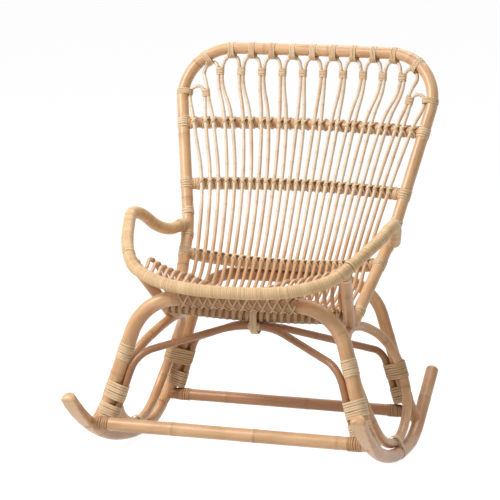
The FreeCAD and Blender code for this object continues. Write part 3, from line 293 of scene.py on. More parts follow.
    cane_pitch: length("Cane pitch", 0.0034, "Advance of a tie for each turn")
    front_binding_high_z: length("Front binding high z", 0.253, "Upper bindings of the front legs")
    front_binding_low_z: length("Front binding low z", 0.166, "Middle bindings of the front legs")
    front_binding_foot_z: length("Front binding foot z", 0.118, "Lowest bindings of the front legs")
    rear_binding_high_z: length("Rear binding high z", 0.173, "Upper bindings of the rear legs")
    rear_binding_low_z: length("Rear binding low z", 0.116, "Lower bindings of the rear legs")
    band_turns: count("Band turns", 5, "Turns of cane that hang the braces on the seat rail")


class CaneSizes(bpy.types.PropertyGroup):
    """Sizes of the cane strips and of the poles' natural marks."""
    strip_width: length("Strip width", 0.0034, "Width of a tie's strip")
    strip_thickness: length("Strip thickness", 0.0012, "Thickness of a strip")
    band_strip: length("Band strip", 0.0056, "Width of the strips of bindings, cuffs and bands")
    wide_strip: length("Wide strip", 0.0075, "Width of the straps that hold the side loops")
    rim_strip: length("Rim strip", 0.0046, "Width of the strip wound round the front rim")
    arm_strip: length("Arm strip", 0.0085, "Width of the strip wound round the arms")
    strip_crown: length("Strip crown", 0.0007, "How far a wound strip's middle stands above its edges")
    lashing_strip: length("Lashing strip", 0.0056, "Width of the crossed strips over a rod")
    lashing_thickness: length("Lashing thickness", 0.0024, "Thickness of the crossed strips over a rod")
    lashing_reach: length("Lashing reach", 0.0066, "Distance of a lashing's sides from its rod's middle")
    twist_width: length("Twist width", 0.009, "Width of the strand twisted round the seat rail")
    twist_thickness: length("Twist thickness", 0.0034, "Thickness of the strand twisted round the seat rail")
    lace_width: length("Lace width", 0.0056, "Width of the strips laced round the front arch")
    lace_thickness: length("Lace thickness", 0.0017, "Thickness of the strips laced round the front arch")
    binding_turns: count("Binding turns", 7, "Turns of strip in a leg binding")
    cuff_turns: count("Cuff turns", 6, "Turns of strip round a stretcher's end")
    joint_turns: count("Joint turns", 5, "Turns of strip round the frame at a rail's end")
    sleeve_turns: count("Sleeve turns", 3, "Turns of strip round a rail's end")
    top_tie_turns: count("Top tie turns", 5, "Turns of strip that tie a loop to the frame's top")
    neck_tie_turns: count("Neck tie turns", 6, "Turns of strip that tie two loops together")
    collar_turns: count("Collar turns", 2, "Turns of strip round a rod behind the rim")
    joint_spacing: length("Joint spacing", 0.19, "Usual distance between a pole's natural rings")
    joint_swell: share("Joint swell", 0.045, "Swelling of a pole at a natural ring, as a share of its radius")
    pole_waver: share("Pole waver", 0.012, "Unevenness of a pole's thickness, as a share of its radius")
    scarf_length: length("Scarf length", 0.2, "Length of the flat cut under a runner's front end")
    scarf_depth: share("Scarf depth", 0.62, "Depth of that cut at the tip, as a share of the radius")
    butt_swell: share("Butt swell", 0.16, "Thickening of a runner's front end, as a share of its radius")


class ChairColours(bpy.types.PropertyGroup):
    """Colours of the rattan, written as linear values."""
    pole_light: colour("Pole light", 0.71, 0.43, 0.22, "Light parts of the poles")
    pole_dark: colour("Pole dark", 0.47, 0.22, 0.08, "Dark patches of the poles")
    pole_ring: colour("Pole ring", 0.27, 0.125, 0.05, "Natural rings of the poles")
    # Painted shade: darker copies of the pole colours for the poles low under the seat, the rear stretcher,
    # seat rail and braces
    deep_light: colour("Deep light", 0.42, 0.195, 0.078, "Light parts of the dark poles")
    deep_dark: colour("Deep dark", 0.27, 0.112, 0.038, "Dark patches of the dark poles")
    rod_light: colour("Rod light", 0.82, 0.68, 0.52, "Light parts of the rods")
    rod_dark: colour("Rod dark", 0.62, 0.36, 0.18, "Dark parts of the rods")
    cane_light: colour("Cane light", 0.88, 0.67, 0.43, "Light parts of the ties and bindings")
    cane_dark: colour("Cane dark", 0.68, 0.44, 0.23, "Dark parts of the ties and bindings")
    wrap_light: colour("Wrap light", 0.77, 0.545, 0.305, "Light parts of the cane wound round arms and rim")
    wrap_dark: colour("Wrap dark", 0.6, 0.36, 0.165, "Dark parts of the cane wound round arms and rim")
    cuff_light: colour("Cuff light", 0.69, 0.4, 0.2, "Light parts of the cane round the stretchers")
    cuff_dark: colour("Cuff dark", 0.48, 0.235, 0.09, "Dark parts of the cane round the stretchers")
    cut_face: colour("Cut face", 0.72, 0.45, 0.25, "Flat cuts on the poles")
    floor: colour("Floor", 0.8, 0.8, 0.8, "Floor and backdrop")


# Lines that poles follow

def vec(x, y, z):
    return np.array([x, y, z], float)


def flip(points):
    """The same points on the other side of the middle plane."""
    return np.asarray(points, float) * (-1, 1, 1)


def on_side(line, side):
    """A line of the right side, or its mirror image for the left side."""
    return line if side > 0 else flip(line)


def unit(vectors):
    """Vectors divided by their lengths."""
    vectors = np.asarray(vectors, float)
    return vectors / np.linalg.norm(vectors, axis=-1, keepdims=True)


def arc(start, apex, end):
    """Circular arc whose end tangents meet at the apex, as a rational quadratic: the apex has as its weight
    the half chord divided by the distance from the apex to an end."""
    t = np.linspace(0, 1, ARC_POINTS)[:, None]
    weight = np.linalg.norm(end - start) / 2 / np.linalg.norm(apex - start)
    middle = 2 * weight * t * (1 - t)
    return ((1 - t) ** 2 * start + middle * apex + t ** 2 * end) / ((1 - t) ** 2 + middle + t ** 2)


def rounded(points, radii):
    """Straight runs joined by tangent arcs: each corner is cut back by its radius over the tangent of half
    its angle, or by a set share of its shorter run where no radius is given."""
    runs = [points[:1]]
    for index in range(1, len(points) - 1):
        before, point, after = points[index - 1:index + 2]
        back = unit(before - point)
        ahead = unit(after - point)
        half = math.acos(np.clip(back @ ahead, -1, 1)) / 2
        reach = CORNER_SHARE * min(np.linalg.norm(before - point), np.linalg.norm(after - point))
        if index in radii:
            reach = radii[index] / math.tan(half)
        runs.append(arc(point + back * reach, point, point + ahead * reach))
    runs.append(points[-1:])
    return np.concatenate(runs)


def flowing(stops):
    """Pairs of tangent arcs through points with their directions: the arcs of a pair meet half way between
    the points that lie one equal reach ahead of its start and behind its end."""
    runs = []
    for (start, heading), (end, onward) in zip(stops, stops[1:]):
        chord = end - start
        lead = chord @ (heading + onward)
        spread = 2 * (1 - heading @ onward)
        square = chord @ chord
        reach = square / (lead + math.sqrt(lead ** 2 + spread * square))
        first = start + heading * reach
        second = end - onward * reach
        joint = (first + second) / 2
        runs.extend([arc(start, first, joint), arc(joint, second, end)])
    return np.concatenate(runs)


def with_headings(points):
    """Points with directions parallel to the line between their neighbours."""
    points = np.asarray(points, float)
    ahead = np.concatenate([points[1:], points[-1:]])
    behind = np.concatenate([points[:1], points[:-1]])
    return list(zip(points, unit(ahead - behind)))


def measure(line):
    """Distance along a line from its start to each of its points."""
    return np.concatenate([[0], np.cumsum(np.linalg.norm(np.diff(line, axis=0), axis=1))])


def taken_at(at, run, vectors):
    """Vectors that are given at distances along a line, blended evenly to other distances."""
    return np.stack([np.interp(at, run, vectors[:, axis]) for axis in range(3)], axis=-1)


def even(line, step):
    """The same line with points at even distances near one step."""
    run = measure(line)
    fresh = np.concatenate([[True], np.diff(run) > 1e-9])
    at = np.linspace(0, run[-1], max(int(round(run[-1] / step)), 8) + 1)
    return taken_at(at, run[fresh], line[fresh])


def place_on(line, axis, amount):
    """Point and direction where a line first passes an amount along one axis."""
    values = line[:, axis] - amount
    index = int(np.argmax(values[:-1] * values[1:] <= 0))
    step = line[index + 1] - line[index]
    part = values[index] / (values[index] - values[index + 1])
    return line[index] + step * part, unit(step)


def runner_x(z, y):
    """Half the runners' distance, which grows towards the front by the tangent of the toe angle."""
    return z.runner_spacing / 2 - math.tan(z.runner_toe) * y


def runner_z(z, y):
    """Height of a runner's centre line: a large arc, then from the bend's start a smaller arc, then a
    straight rise, each term held at its range's ends."""
    lean = z.runner_bend_y / z.runner_arc
    straight = z.runner_bend_y + z.runner_bend * (math.sin(z.runner_rise) - lean)
    along = np.clip(y - z.runner_bend_y, 0, straight - z.runner_bend_y)
    lift = z.runner_arc - np.sqrt(z.runner_arc ** 2 - np.minimum(y, z.runner_bend_y) ** 2)
    start = z.runner_bend * lean
    lift = lift + np.sqrt(z.runner_bend ** 2 - start ** 2)
    lift = lift - np.sqrt(z.runner_bend ** 2 - (start + along) ** 2)
    return z.runner_radius + lift + np.maximum(y - straight, 0) * math.tan(z.runner_rise)


def runner_line(z):
    """Centre line of the right runner."""
    y = np.linspace(z.runner_front_y, z.runner_rear_y, RUNNER_POINTS)
    return np.stack([runner_x(z, y), y, runner_z(z, y)], axis=1)


def bowed(end, middle):
    """Centre of a rail at given distances across: an arc from side to side through a middle point, whose
    radius follows from its half width and depth."""
    drop = vec(0, middle[1] - end[1], middle[2] - end[2])
    depth = np.linalg.norm(drop)
    bend = drop / depth
    radius = (end[0] ** 2 + depth ** 2) / (2 * depth)

    def at(x):
        x = np.asarray(x, float)
        rest = np.sqrt(radius ** 2 - x ** 2)
        point = np.stack([x, np.full_like(x, middle[1]), np.full_like(x, middle[2])], axis=-1)
        point = point - bend * (radius - rest)[..., None]
        return point, unit(vec(1, 0, 0) - bend * (x / rest)[..., None])

    line = at(np.linspace(end[0], -end[0], RAIL_POINTS))[0]
    return SimpleNamespace(at=at, end=end, middle=middle, line=line)


def leg_of(z, foot_y, top_y, top_z, shoulder, radius):
    """Straight right leg of an arch, with the direction in which its brace lies beside it."""
    foot = vec(runner_x(z, foot_y) - z.arch_inset, foot_y, runner_z(z, foot_y))
    root = foot + vec(z.arch_inset, 0, 0)
    top = vec(shoulder / 2, top_y, top_z)
    along = unit(top - foot)
    inward = unit(vec(-1, 0, 0) + along * along[0])

    def at(height):
        return foot + (top - foot) * ((height - foot[2]) / (top[2] - foot[2]))

    return SimpleNamespace(root=root, foot=foot, top=top, along=along, inward=inward, radius=radius, at=at)


def arch_line(leg, bend):
    """An arch over its two rounded shoulders, whose feet bend a little outwards into the runners."""
    ankle = leg.foot + leg.along * ANKLE_RADII * leg.radius
    half = np.array([leg.root, ankle, leg.top])
    return rounded(np.concatenate([half, flip(half)[::-1]]), {2: bend, 3: bend})


def loop_line(z):
    """The right side loop, in a plane that leans inwards, with its lowest part lying along the runner and its
    foremost and rearmost points out of that plane, towards the legs."""
    foot_x = runner_x(z, z.loop_foot_y) - z.loop_foot_inset
    lift = math.sqrt((z.runner_radius + z.loop_radius + z.fit_gap) ** 2 - z.loop_foot_inset ** 2)
    foot_z = runner_z(z, z.loop_foot_y) + lift
    lean = (z.loop_top_width / 2 - foot_x) / (z.loop_top_z - foot_z)

    def at(y, height, bulge=0):
        return vec(foot_x + lean * (height - foot_z) + bulge, y, height)

    low = at(z.loop_foot_y, foot_z)
    high = at(z.loop_top_y, z.loop_top_z)
    up = unit(high - low)
    back = vec(0, 1, 0)
    level = unit(back + up * (z.loop_foot_y / z.runner_arc))
    rear = at(z.loop_rear_y, z.loop_side_z, z.loop_bulge)
    front = at(z.loop_front_y, z.loop_side_z, z.loop_bulge)
    return flowing([(low, level), (rear, up), (high, -back), (front, -up), (low, level)])


def brace_line(z, leg, foot_z, knee_z, bend, apex_y, apex_z):
    """A brace beside both legs of an arch that rises to a straight middle under the seat rail."""
    beside = leg.radius + z.brace_radius + z.fit_gap
    half = np.array([leg.at(foot_z) + leg.inward * beside, leg.at(knee_z) + leg.inward * beside,
                     vec(z.brace_flat / 2, apex_y, apex_z)])
    return rounded(np.concatenate([half, flip(half)[::-1]]), {1: bend, 4: bend})


def frame_lines(z, p):
    """The back frame from one foot over its top to the other, and its three rails. The lower rail's middle
    rests on the rear arch."""
    foot = vec(z.loop_top_width / 2, z.frame_foot_y, p.seat_height)
    knee = vec(z.frame_knee_width / 2, z.frame_knee_y, z.frame_knee_z)
    p.top_corner = vec(z.frame_top_width / 2, z.frame_top_y, z.frame_top_z)
    middle = vec(0, z.frame_top_y + z.frame_bow, z.frame_top_z)
    half = np.array([foot, knee, p.top_corner])
    route = np.concatenate([half, [middle], flip(half)[::-1]])
    bends = {1: z.frame_knee_bend, 2: z.frame_corner, 4: z.frame_corner, 5: z.frame_knee_bend}
    p.frame = even(rounded(route, bends), FINE_STEP)
    p.frame_top = p.frame[p.frame[:, 2] > z.frame_top_z - z.frame_corner][::-1]
    p.rails = {}
    for name in ("lower", "middle", "upper"):
        end = place_on(p.frame, 2, getattr(z, name + "_rail_z"))[0]
        centre = vec(0, end[1] + getattr(z, name + "_rail_bow"), end[2])
        if name == "lower":
            reach = z.rail_radius + z.rear_radius + z.fit_gap
            centre[2] = z.rear_top_z + math.sqrt(reach ** 2 - (centre[1] - z.rear_y) ** 2)
        p.rails[name] = bowed(end, centre)
    p.rise = unit(middle - p.rails["upper"].middle)


def hoop_lines(z, p):
    """The arms and the front rim: one line through the places of one side and their mirror images."""
    p.arm_joint = place_on(p.frame, 2, z.frame_knee_z + z.arm_joint_rise)[0]
    rim_middle = vec(0, z.rim_y, z.rim_z)
    half = np.array([
        p.arm_joint,
        vec(z.arm_dip_width / 2, z.arm_dip_y, z.arm_dip_z),
        vec(z.arm_top_width / 2, z.arm_top_y, z.arm_top_z),
        vec(z.arm_rise_width / 2, z.arm_rise_y, z.arm_rise_z),
        vec(z.arm_turn_width / 2, z.arm_turn_y, z.arm_turn_z),
        rim_middle + vec(z.rim_corner_width / 2, z.rim_corner_back, z.rim_corner_rise),
        rim_middle + vec(z.rim_side_width / 2, z.rim_side_back, z.rim_side_rise),
        rim_middle])
    stops = with_headings(np.concatenate([half, flip(half[:-1])[::-1]]))
    p.arm = flowing(stops[:5])
    p.rim = flowing(stops[4:-4])
    p.hoop_outer = z.hoop_radius + z.fit_gap + z.wrap_skin


def seat_lines(z, p):
    """The side post, the rail between the posts and the two braces that hang under that rail side by side."""
    foot = vec(z.loop_top_width / 2, z.post_foot_y, p.seat_height)
    top = place_on(p.rim, 1, z.post_top_y)[0]
    p.post = np.array([foot, top])
    part = (z.seat_rail_z + z.seat_rail_rise - foot[2]) / (top[2] - foot[2])
    p.seat_rail = bowed(foot + (top - foot) * part, vec(0, z.seat_rail_y, z.seat_rail_z))
    p.brace_z = z.seat_rail_z - z.seat_rail_radius - z.brace_radius - 2 * z.fit_gap - 2 * z.cane_radius
    beside = z.brace_radius + z.fit_gap / 2
    p.front_brace = brace_line(z, p.front_leg, z.front_brace_foot_z, z.front_brace_knee_z, z.front_brace_bend,
                               z.seat_rail_y - beside, p.brace_z)
    p.rear_brace = brace_line(z, p.rear_leg, z.rear_brace_foot_z, z.rear_brace_knee_z, z.rear_brace_bend,
                              z.seat_rail_y + beside, p.brace_z)


def rod_lines(z, p):
    """Where the rods touch the frame and each other, and every rod's stops."""
    p.beside_frame = z.frame_radius + z.rod_radius + z.fit_gap
    p.beside_rod = z.rod_radius + z.fit_gap / 2
    p.loop_top_z = z.frame_top_z - p.beside_frame * p.rise[2]
    p.end_top_z = p.loop_top_z - z.end_loop_drop
    p.end_touch_z = p.end_top_z - z.end_loop_width / 2
    place, along = place_on(p.frame, 2, p.end_touch_z)
    p.side_touch = (place + unit(vec(-1, 0, 0) + along * along[0]) * p.beside_frame, along)
    p.end_neck_x = p.side_touch[0][0] - z.end_loop_width - p.beside_rod
    p.rods = rod_stops(z, p)


def chair_lines(z):
    """Every centre line of the chair that pieces share."""
    p = SimpleNamespace()
    p.front_leg = leg_of(z, z.front_foot_y, z.front_top_y, z.front_top_z, z.front_shoulder, z.front_radius)
    p.rear_leg = leg_of(z, z.rear_y, z.rear_y, z.rear_top_z, z.rear_shoulder, z.rear_radius)
    p.stretcher_y = z.front_foot_y - z.front_radius - z.stretcher_front - z.stretcher_room
    p.loop = loop_line(z)
    p.seat_height = z.loop_top_z + z.loop_radius / 2
    frame_lines(z, p)
    hoop_lines(z, p)
    seat_lines(z, p)
    rod_lines(z, p)
    return p


# Lines of the rods

def frame_top(p, x):
    """Centre of the frame's top at one distance across, and its direction."""
    return place_on(p.frame_top, 0, x)


def clear_of(z, rail, x, below, above):
    """Centre of a rod where it crosses in front of a rail."""
    point, along = rail.at(x)
    return point + unit(np.cross(along, above - below)) * (z.rail_radius + z.rod_radius + z.fit_gap)


def loop_x(loop, side, pitch, pair):
    """Distance of a rod from the middle plane: its loop's place times the pitch, and half a pair."""
    return (loop - MIDDLE_LOOP) * pitch + side * pair / 2


def seat_stops(z, p, loop, side):
    """Points of a rod from the rim over the front arch and the seat rail to the seat's lowest part, whose
    sides rise with the third power of the distance across."""
    steepness = math.hypot(1, (z.rim_z - z.seat_rail_z) / (z.seat_rail_y - z.rim_y))
    rim_x = loop_x(loop, side, z.rod_pitch_rim, z.rod_pitch_rim / 2)
    rim, along = place_on(p.rim, 0, rim_x)
    inward = unit(np.cross(vec(0, 0, 1), along))
    inward = inward * np.sign(inward[1])
    over_arch = vec(rim_x, z.front_top_y + rim[1] - z.rim_y, z.front_top_z + rim[2] - z.rim_z)
    over_arch[2] += (z.front_radius + z.rod_radius + z.fit_gap) * steepness
    seat_x = loop_x(loop, side, z.rod_pitch_seat, z.rod_pitch_seat / 2)
    bow = abs(seat_x) / (z.rod_pitch_seat * (LOOPS - 0.5) / 2)
    over_arch[2] += z.seat_side_rim * min(1, bow / RIM_SHARE) ** 2
    touch = rim + inward * (p.hoop_outer + z.fit_gap)
    skew = np.linalg.norm(np.cross(unit(touch - over_arch), inward))
    end = touch + inward * (z.rod_radius * skew)
    over_rail = p.seat_rail.at(seat_x)[0]
    outer = max(0, (bow - FLAT_SHARE) / (1 - FLAT_SHARE))
    over_rail[2] += (z.seat_rail_radius + z.rod_radius + z.fit_gap) * steepness
    over_rail[2] += z.seat_side_front * outer ** 2
    lowest = vec(seat_x, z.seat_low_y, z.seat_low_z + z.seat_side_low * bow ** 3)
    return [end, over_arch, over_rail, lowest]


def back_pitch(z, p, name):
    """Distance between loops at a back rail and between a loop's two rods, from the room at the frame."""
    outermost = p.rails[name].end[0] - getattr(z, "rod_room_" + name)
    if name == "upper":
        return (outermost - z.rod_pair_upper / 2) / (MIDDLE_LOOP - 1), z.rod_pair_upper
    pitch = outermost * 2 / (LOOPS - 0.5)
    return pitch, pitch / 2


def back_stops(z, p, loop, side, lowest):
    """Points of a rod where it crosses the three back rails."""
    pitches = {name: back_pitch(z, p, name) for name in ("lower", "middle", "upper")}
    xs = {name: loop_x(loop, side, *pitches[name]) for name in pitches}
    centres = [lowest] + [p.rails[name].at(xs[name])[0] for name in pitches]
    centres.append(frame_top(p, 0)[0] * (0, 1, 1) + vec(xs["upper"], 0, 0))
    crossings = zip(pitches, centres, centres[2:])
    return [clear_of(z, p.rails[name], xs[name], below, above) for name, below, above in crossings]


def top_x(z, loop):
    """Distance from the middle plane to a loop's tie on the frame, with the outermost two set apart."""
    x = (loop - MIDDLE_LOOP) * z.rod_pitch_top
    if loop in (2, LOOPS - 1):
        x += math.copysign(z.rod_pitch_outer - z.rod_pitch_top, x)
    return x


def loop_top(z, p, loop):
    """Highest point of a loop under the frame's top, and its direction there."""
    place, along = frame_top(p, top_x(z, loop))
    inward = -unit(np.cross(np.cross(along, p.rise), along))
    return place + inward * p.beside_frame, along


def back_point(z, p, x, height):
    """A rod's centre between the upper rail and the frame's top, on the straight line between them."""
    above = vec(x, z.frame_top_y, z.frame_top_z)
    low = clear_of(z, p.rails["upper"], x, p.rails["middle"].at(x)[0], above)
    high = above + vec(0, z.frame_bow * (1 - (x / p.top_corner[0]) ** 2), 0)
    return low + (high - low) * ((height - low[2]) / (high[2] - low[2]))


def neck(z, p, number):
    """Point between the two rods of neighbouring loops that are tied together."""
    if number in (1, LOOPS - 1):
        return back_point(z, p, p.end_neck_x * (-1 if number == 1 else 1), p.end_touch_z)
    return back_point(z, p, (number + 0.5 - MIDDLE_LOOP) * z.rod_pitch_top, p.loop_top_z - z.neck_drop)


def crown(z, p, loop):
    """Stops over a loop's top: the left rod's neck, the highest point and the right rod's neck."""
    outer = loop in (1, 2, LOOPS - 1, LOOPS)
    aside = vec(p.beside_rod * (math.hypot(1, OUTWARD) if outer else 1), 0, 0)
    stops = {-1: (neck(z, p, loop - 1) + aside, p.rise) if loop > 1 else None,
             1: (neck(z, p, loop) - aside, p.rise) if loop < LOOPS else None}
    side = -1 if loop < MIDDLE_LOOP else 1
    leaning = unit(p.rise + vec(side * OUTWARD, 0, 0))
    if loop in (1, LOOPS):
        place, along = p.side_touch
        mirror = vec(side, 1, 1)
        stops[side] = (place * mirror, along * mirror)
        stops[-side] = (stops[-side][0], leaning)
        middle = back_point(z, p, side * (place[0] - z.end_loop_width / 2), p.end_top_z)
        return stops[-1], (middle, vec(1, 0, 0)), stops[1]
    if outer:
        stops[side] = (stops[side][0], leaning)
    return stops[-1], loop_top(z, p, loop), stops[1]


def rod_stops(z, p):
    """For each loop its left rod's stops, its top and its right rod's stops, from the rim upwards."""
    rods = {}
    for loop in range(1, LOOPS + 1):
        left, top, right = crown(z, p, loop)
        halves = []
        for side, last in ((-1, left), (1, right)):
            seat = seat_stops(z, p, loop, side)
            points = seat + back_stops(z, p, loop, side, seat[-1]) + [last[0], top[0]]
            halves.append(with_headings(points)[:-2] + [last])
        rods[loop] = SimpleNamespace(left=halves[0], top=top, right=halves[1])
    return rods


def rod_halves(p):
    """The stops of every rod, from the left of the chair to its right."""
    return [half for rod in p.rods.values() for half in (rod.left, rod.right)]


# Surfaces

def surface(points, quads, caps, lay, ring, cut, tone):
    """A shape with its four marks: the place along and across the straightened piece, and the strengths of
    rings or of painted shade at strip edges, of bare cuts and of the dark tone, which on some pieces also
    holds painted shade."""
    marks = {"lay": lay.reshape(-1, 3), "ring": ring.ravel(), "cut": cut.ravel(), "tone": tone.ravel()}
    return SimpleNamespace(points=points.reshape(-1, 3), quads=quads, caps=caps, marks=marks)


def joined(shapes):
    """Several shapes as one: their points, faces and marks one after the other."""
    starts = np.cumsum([0] + [len(shape.points) for shape in shapes[:-1]]).tolist()
    caps = []
    for shape, start in zip(shapes, starts):
        caps.extend([[corner + start for corner in face] for face in shape.caps])
    quads = np.concatenate([shape.quads + start for shape, start in zip(shapes, starts)])
    marks = {name: np.concatenate([shape.marks[name] for shape in shapes]) for name in shapes[0].marks}
    points = np.concatenate([shape.points for shape in shapes])
    return SimpleNamespace(points=points, quads=quads, caps=caps, marks=marks)


def mirrored(shape):
    """The same shape on the other side of the chair, with its faces turned round again."""
    quads = shape.quads[:, ::-1]
    caps = [face[::-1] for face in shape.caps]
    return SimpleNamespace(points=flip(shape.points), quads=quads, caps=caps, marks=shape.marks)


def grid_quads(rings, sides, closed):
    """Faces of four corners between neighbouring rings of points, the last joined to the first if closed."""
    ring, side = np.meshgrid(np.arange(rings if closed else rings - 1), np.arange(sides), indexing="ij")
    after = (side + 1) % sides
    onward = (ring + 1) % rings
    quads = [ring * sides + side, ring * sides + after, onward * sides + after, onward * sides + side]
    return np.stack(quads, axis=-1).reshape(-1, 4)


def end_caps(rings, sides):
    """Faces that close a tube's two ends: its first ring, turned round, and its last."""
    last = (rings - 1) * sides
    return [list(range(sides))[::-1], list(range(last, last + sides))]


def across(line):
    """A line's direction at each point and two directions square to it. The first of them is the line's
    direction crossed with the direction that the line follows least."""
    along = unit(np.gradient(line, axis=0))
    least = np.linalg.eigh(along.T @ along)[1][:, 0]
    first = unit(np.cross(along, least))
    return along, first, np.cross(along, first)


def natural_rings(run, spacing, chance):
    """Distance of each point along a pole from each of its natural rings, which lie unevenly apart."""
    most = int(run[-1] / spacing / RING_GAPS[0]) + 2
    gaps = chance.uniform(*RING_GAPS, most) * spacing
    places = np.cumsum(gaps) - gaps[0] * chance.uniform(*FIRST_RING)
    return run[:, None] - places[None, :]


def rounded_end(circle, direction, depth, angles):
    """Circles that round off an end: each shrinks by the cosine of its angle and lies out by the sine."""
    centre = circle.mean(axis=0)
    shrunk = centre + (circle - centre) * np.cos(angles)[:, None, None]
    return shrunk + direction * depth * np.sin(angles)[:, None, None]


def pole(line, radius, cane, seed, sides=24, closed=False, shape=None, tone=0.5):
    """A natural pole: a circle carried along a line, whose radius wavers slowly and swells at its rings, with
    rounded ends of three shrinking circles. shape may change the radius of each point of a circle."""
    chance = np.random.default_rng(seed)
    along, first, second = across(line)
    if closed:
        line, along, first, second = line[:-1], along[:-1], first[:-1], second[:-1]
    run = measure(line)
    rings = natural_rings(run, cane.joint_spacing * radius / USUAL_RADIUS, chance)
    swell = np.exp(-(rings / SWELL_WIDTH) ** 2).sum(axis=1)
    mark = np.exp(-(rings / MARK_WIDTH) ** 2).sum(axis=1)
    rates = chance.uniform(*WAVE_RATES, WAVES)
    waver = np.sin(run[:, None] * rates + chance.uniform(0, TURN, WAVES)).mean(axis=1)
    width = radius * (1 + cane.joint_swell * (swell - NOTCH_SHARE * mark) + cane.pole_waver * waver)
    angle = np.arange(sides) * TURN / sides
    out = first[:, None] * np.cos(angle)[:, None] + second[:, None] * np.sin(angle)[:, None]
    reach = np.repeat(width[:, None], sides, axis=1)
    cut = np.zeros_like(reach)
    if shape:
        reach, cut = shape(run, out, reach)
    points = line[:, None] + out * reach[..., None]
    distance = np.repeat(run[:, None], sides, axis=1)
    lay = np.stack([distance, reach * np.cos(angle), reach * np.sin(angle)], axis=-1)
    ring = np.repeat(mark[:, None], sides, axis=1)
    caps = []
    if not closed:
        angles = np.radians(END_ANGLES)
        start = rounded_end(points[0], -along[0], END_DEPTH * radius, angles)
        end = rounded_end(points[-1], along[-1], END_DEPTH * radius, angles[::-1])
        points = np.concatenate([start, points, end])
        more = (len(angles), len(angles))
        lay = np.pad(lay, (more, (0, 0), (0, 0)), mode="edge")
        lay[:len(start), :, 0] -= END_SHIFT
        lay[-len(end):, :, 0] += END_SHIFT
        ring = np.pad(ring, (more, (0, 0)))
        cut = np.pad(cut, (more, (0, 0)), constant_values=END_CUT)
        caps = end_caps(len(points), sides)
    lay[..., 0] += seed * LAY_SHIFT
    tones = np.full(ring.shape, tone + chance.uniform(-POLE_SPREAD, POLE_SPREAD))
    return surface(points, grid_quads(len(points), sides, closed), caps, lay, ring, cut, tones)


def strip(line, outward, width, thickness, seed, closed=False):
    """A flat cane strip: a low six-cornered section carried along a line, its crown towards outward."""
    chance = np.random.default_rng(seed)
    along = unit(np.gradient(line, axis=0))
    if closed:
        along[[0, -1]] = unit(line[1] - line[-2])
        line, along, outward = line[:-1], along[:-1], outward[:-1]
    side = unit(np.cross(along, outward))
    outward = np.cross(side, along)
    section = STRIP * (width, thickness)
    points = line[:, None] + side[:, None] * section[:, :1] + outward[:, None] * section[:, 1:]
    lay = np.empty(points.shape)
    lay[..., 0] = measure(line)[:, None] + chance.uniform(0, LAY_ROOM)
    lay[..., 1:] = section
    rings, corners = points.shape[:2]
    # Painted shade: the strip's sides are darker than its crown, where it meets its neighbours and the pole
    edge = np.tile(np.abs(STRIP[:, 0]) * 2, (rings, 1))
    tones = np.full(edge.shape, TONE.strip + chance.uniform(-STRIP_SPREAD, STRIP_SPREAD))
    caps = [] if closed else end_caps(rings, corners)
    return surface(points, grid_quads(rings, corners, closed), caps, lay, edge, np.zeros(edge.shape), tones)


def coil(centre, axis, side, reach, radius, turns, pitch, width, thickness, seed, points=20):
    """A strip wound round a pole, or round two poles reach apart: half circles about both ends."""
    along = unit(axis)
    out = unit(side - along * (side @ along))
    cross = np.cross(along, out)
    half = points // 2
    number = np.arange(2 * half * turns)
    angle = -math.pi / 2 + math.pi * (number % half + 0.5) / half
    sign = 1 - 2 * ((number // half) % 2)
    normal = sign[:, None] * (out * np.cos(angle)[:, None] + cross * np.sin(angle)[:, None])
    flat = normal * radius + out * (sign * reach / 2)[:, None]
    return wind(centre, along, flat, normal, radius, turns, pitch, width, thickness, seed)


def wind(centre, along, flat, normal, radius, turns, pitch, width, thickness, seed):
    """A strip laid along a flat path of turns, shifted along the axis by one pitch for each turn and swaying
    by a sine, with both ends tucked under."""
    chance = np.random.default_rng(seed)
    run = measure(flat)
    part = run / run[-1]
    sway = SWAY * np.sin(part * chance.uniform(*SWAY_RATES))
    shift = pitch * (turns * (part - 0.5) + sway)
    tuck = np.clip(np.minimum(run, run[-1] - run) / (TUCK_RADII * radius), 0, 1)
    sunk = thickness * TUCK_DEPTH * (1 - tuck)
    line = centre + flat + along * shift[:, None] - normal * sunk[:, None]
    return strip(line, normal, width, thickness, seed)


def spiral(line, radius, pitch, hand, phase, width, thickness, seed):
    """A strip that climbs round a pole's line: its angle grows with the distance along the line."""
    along, first, second = across(line)
    angle = hand * (TURN * measure(line) / pitch) + phase
    normal = first * np.cos(angle)[:, None] + second * np.sin(angle)[:, None]
    return strip(line + normal * radius, normal, width, thickness, seed)


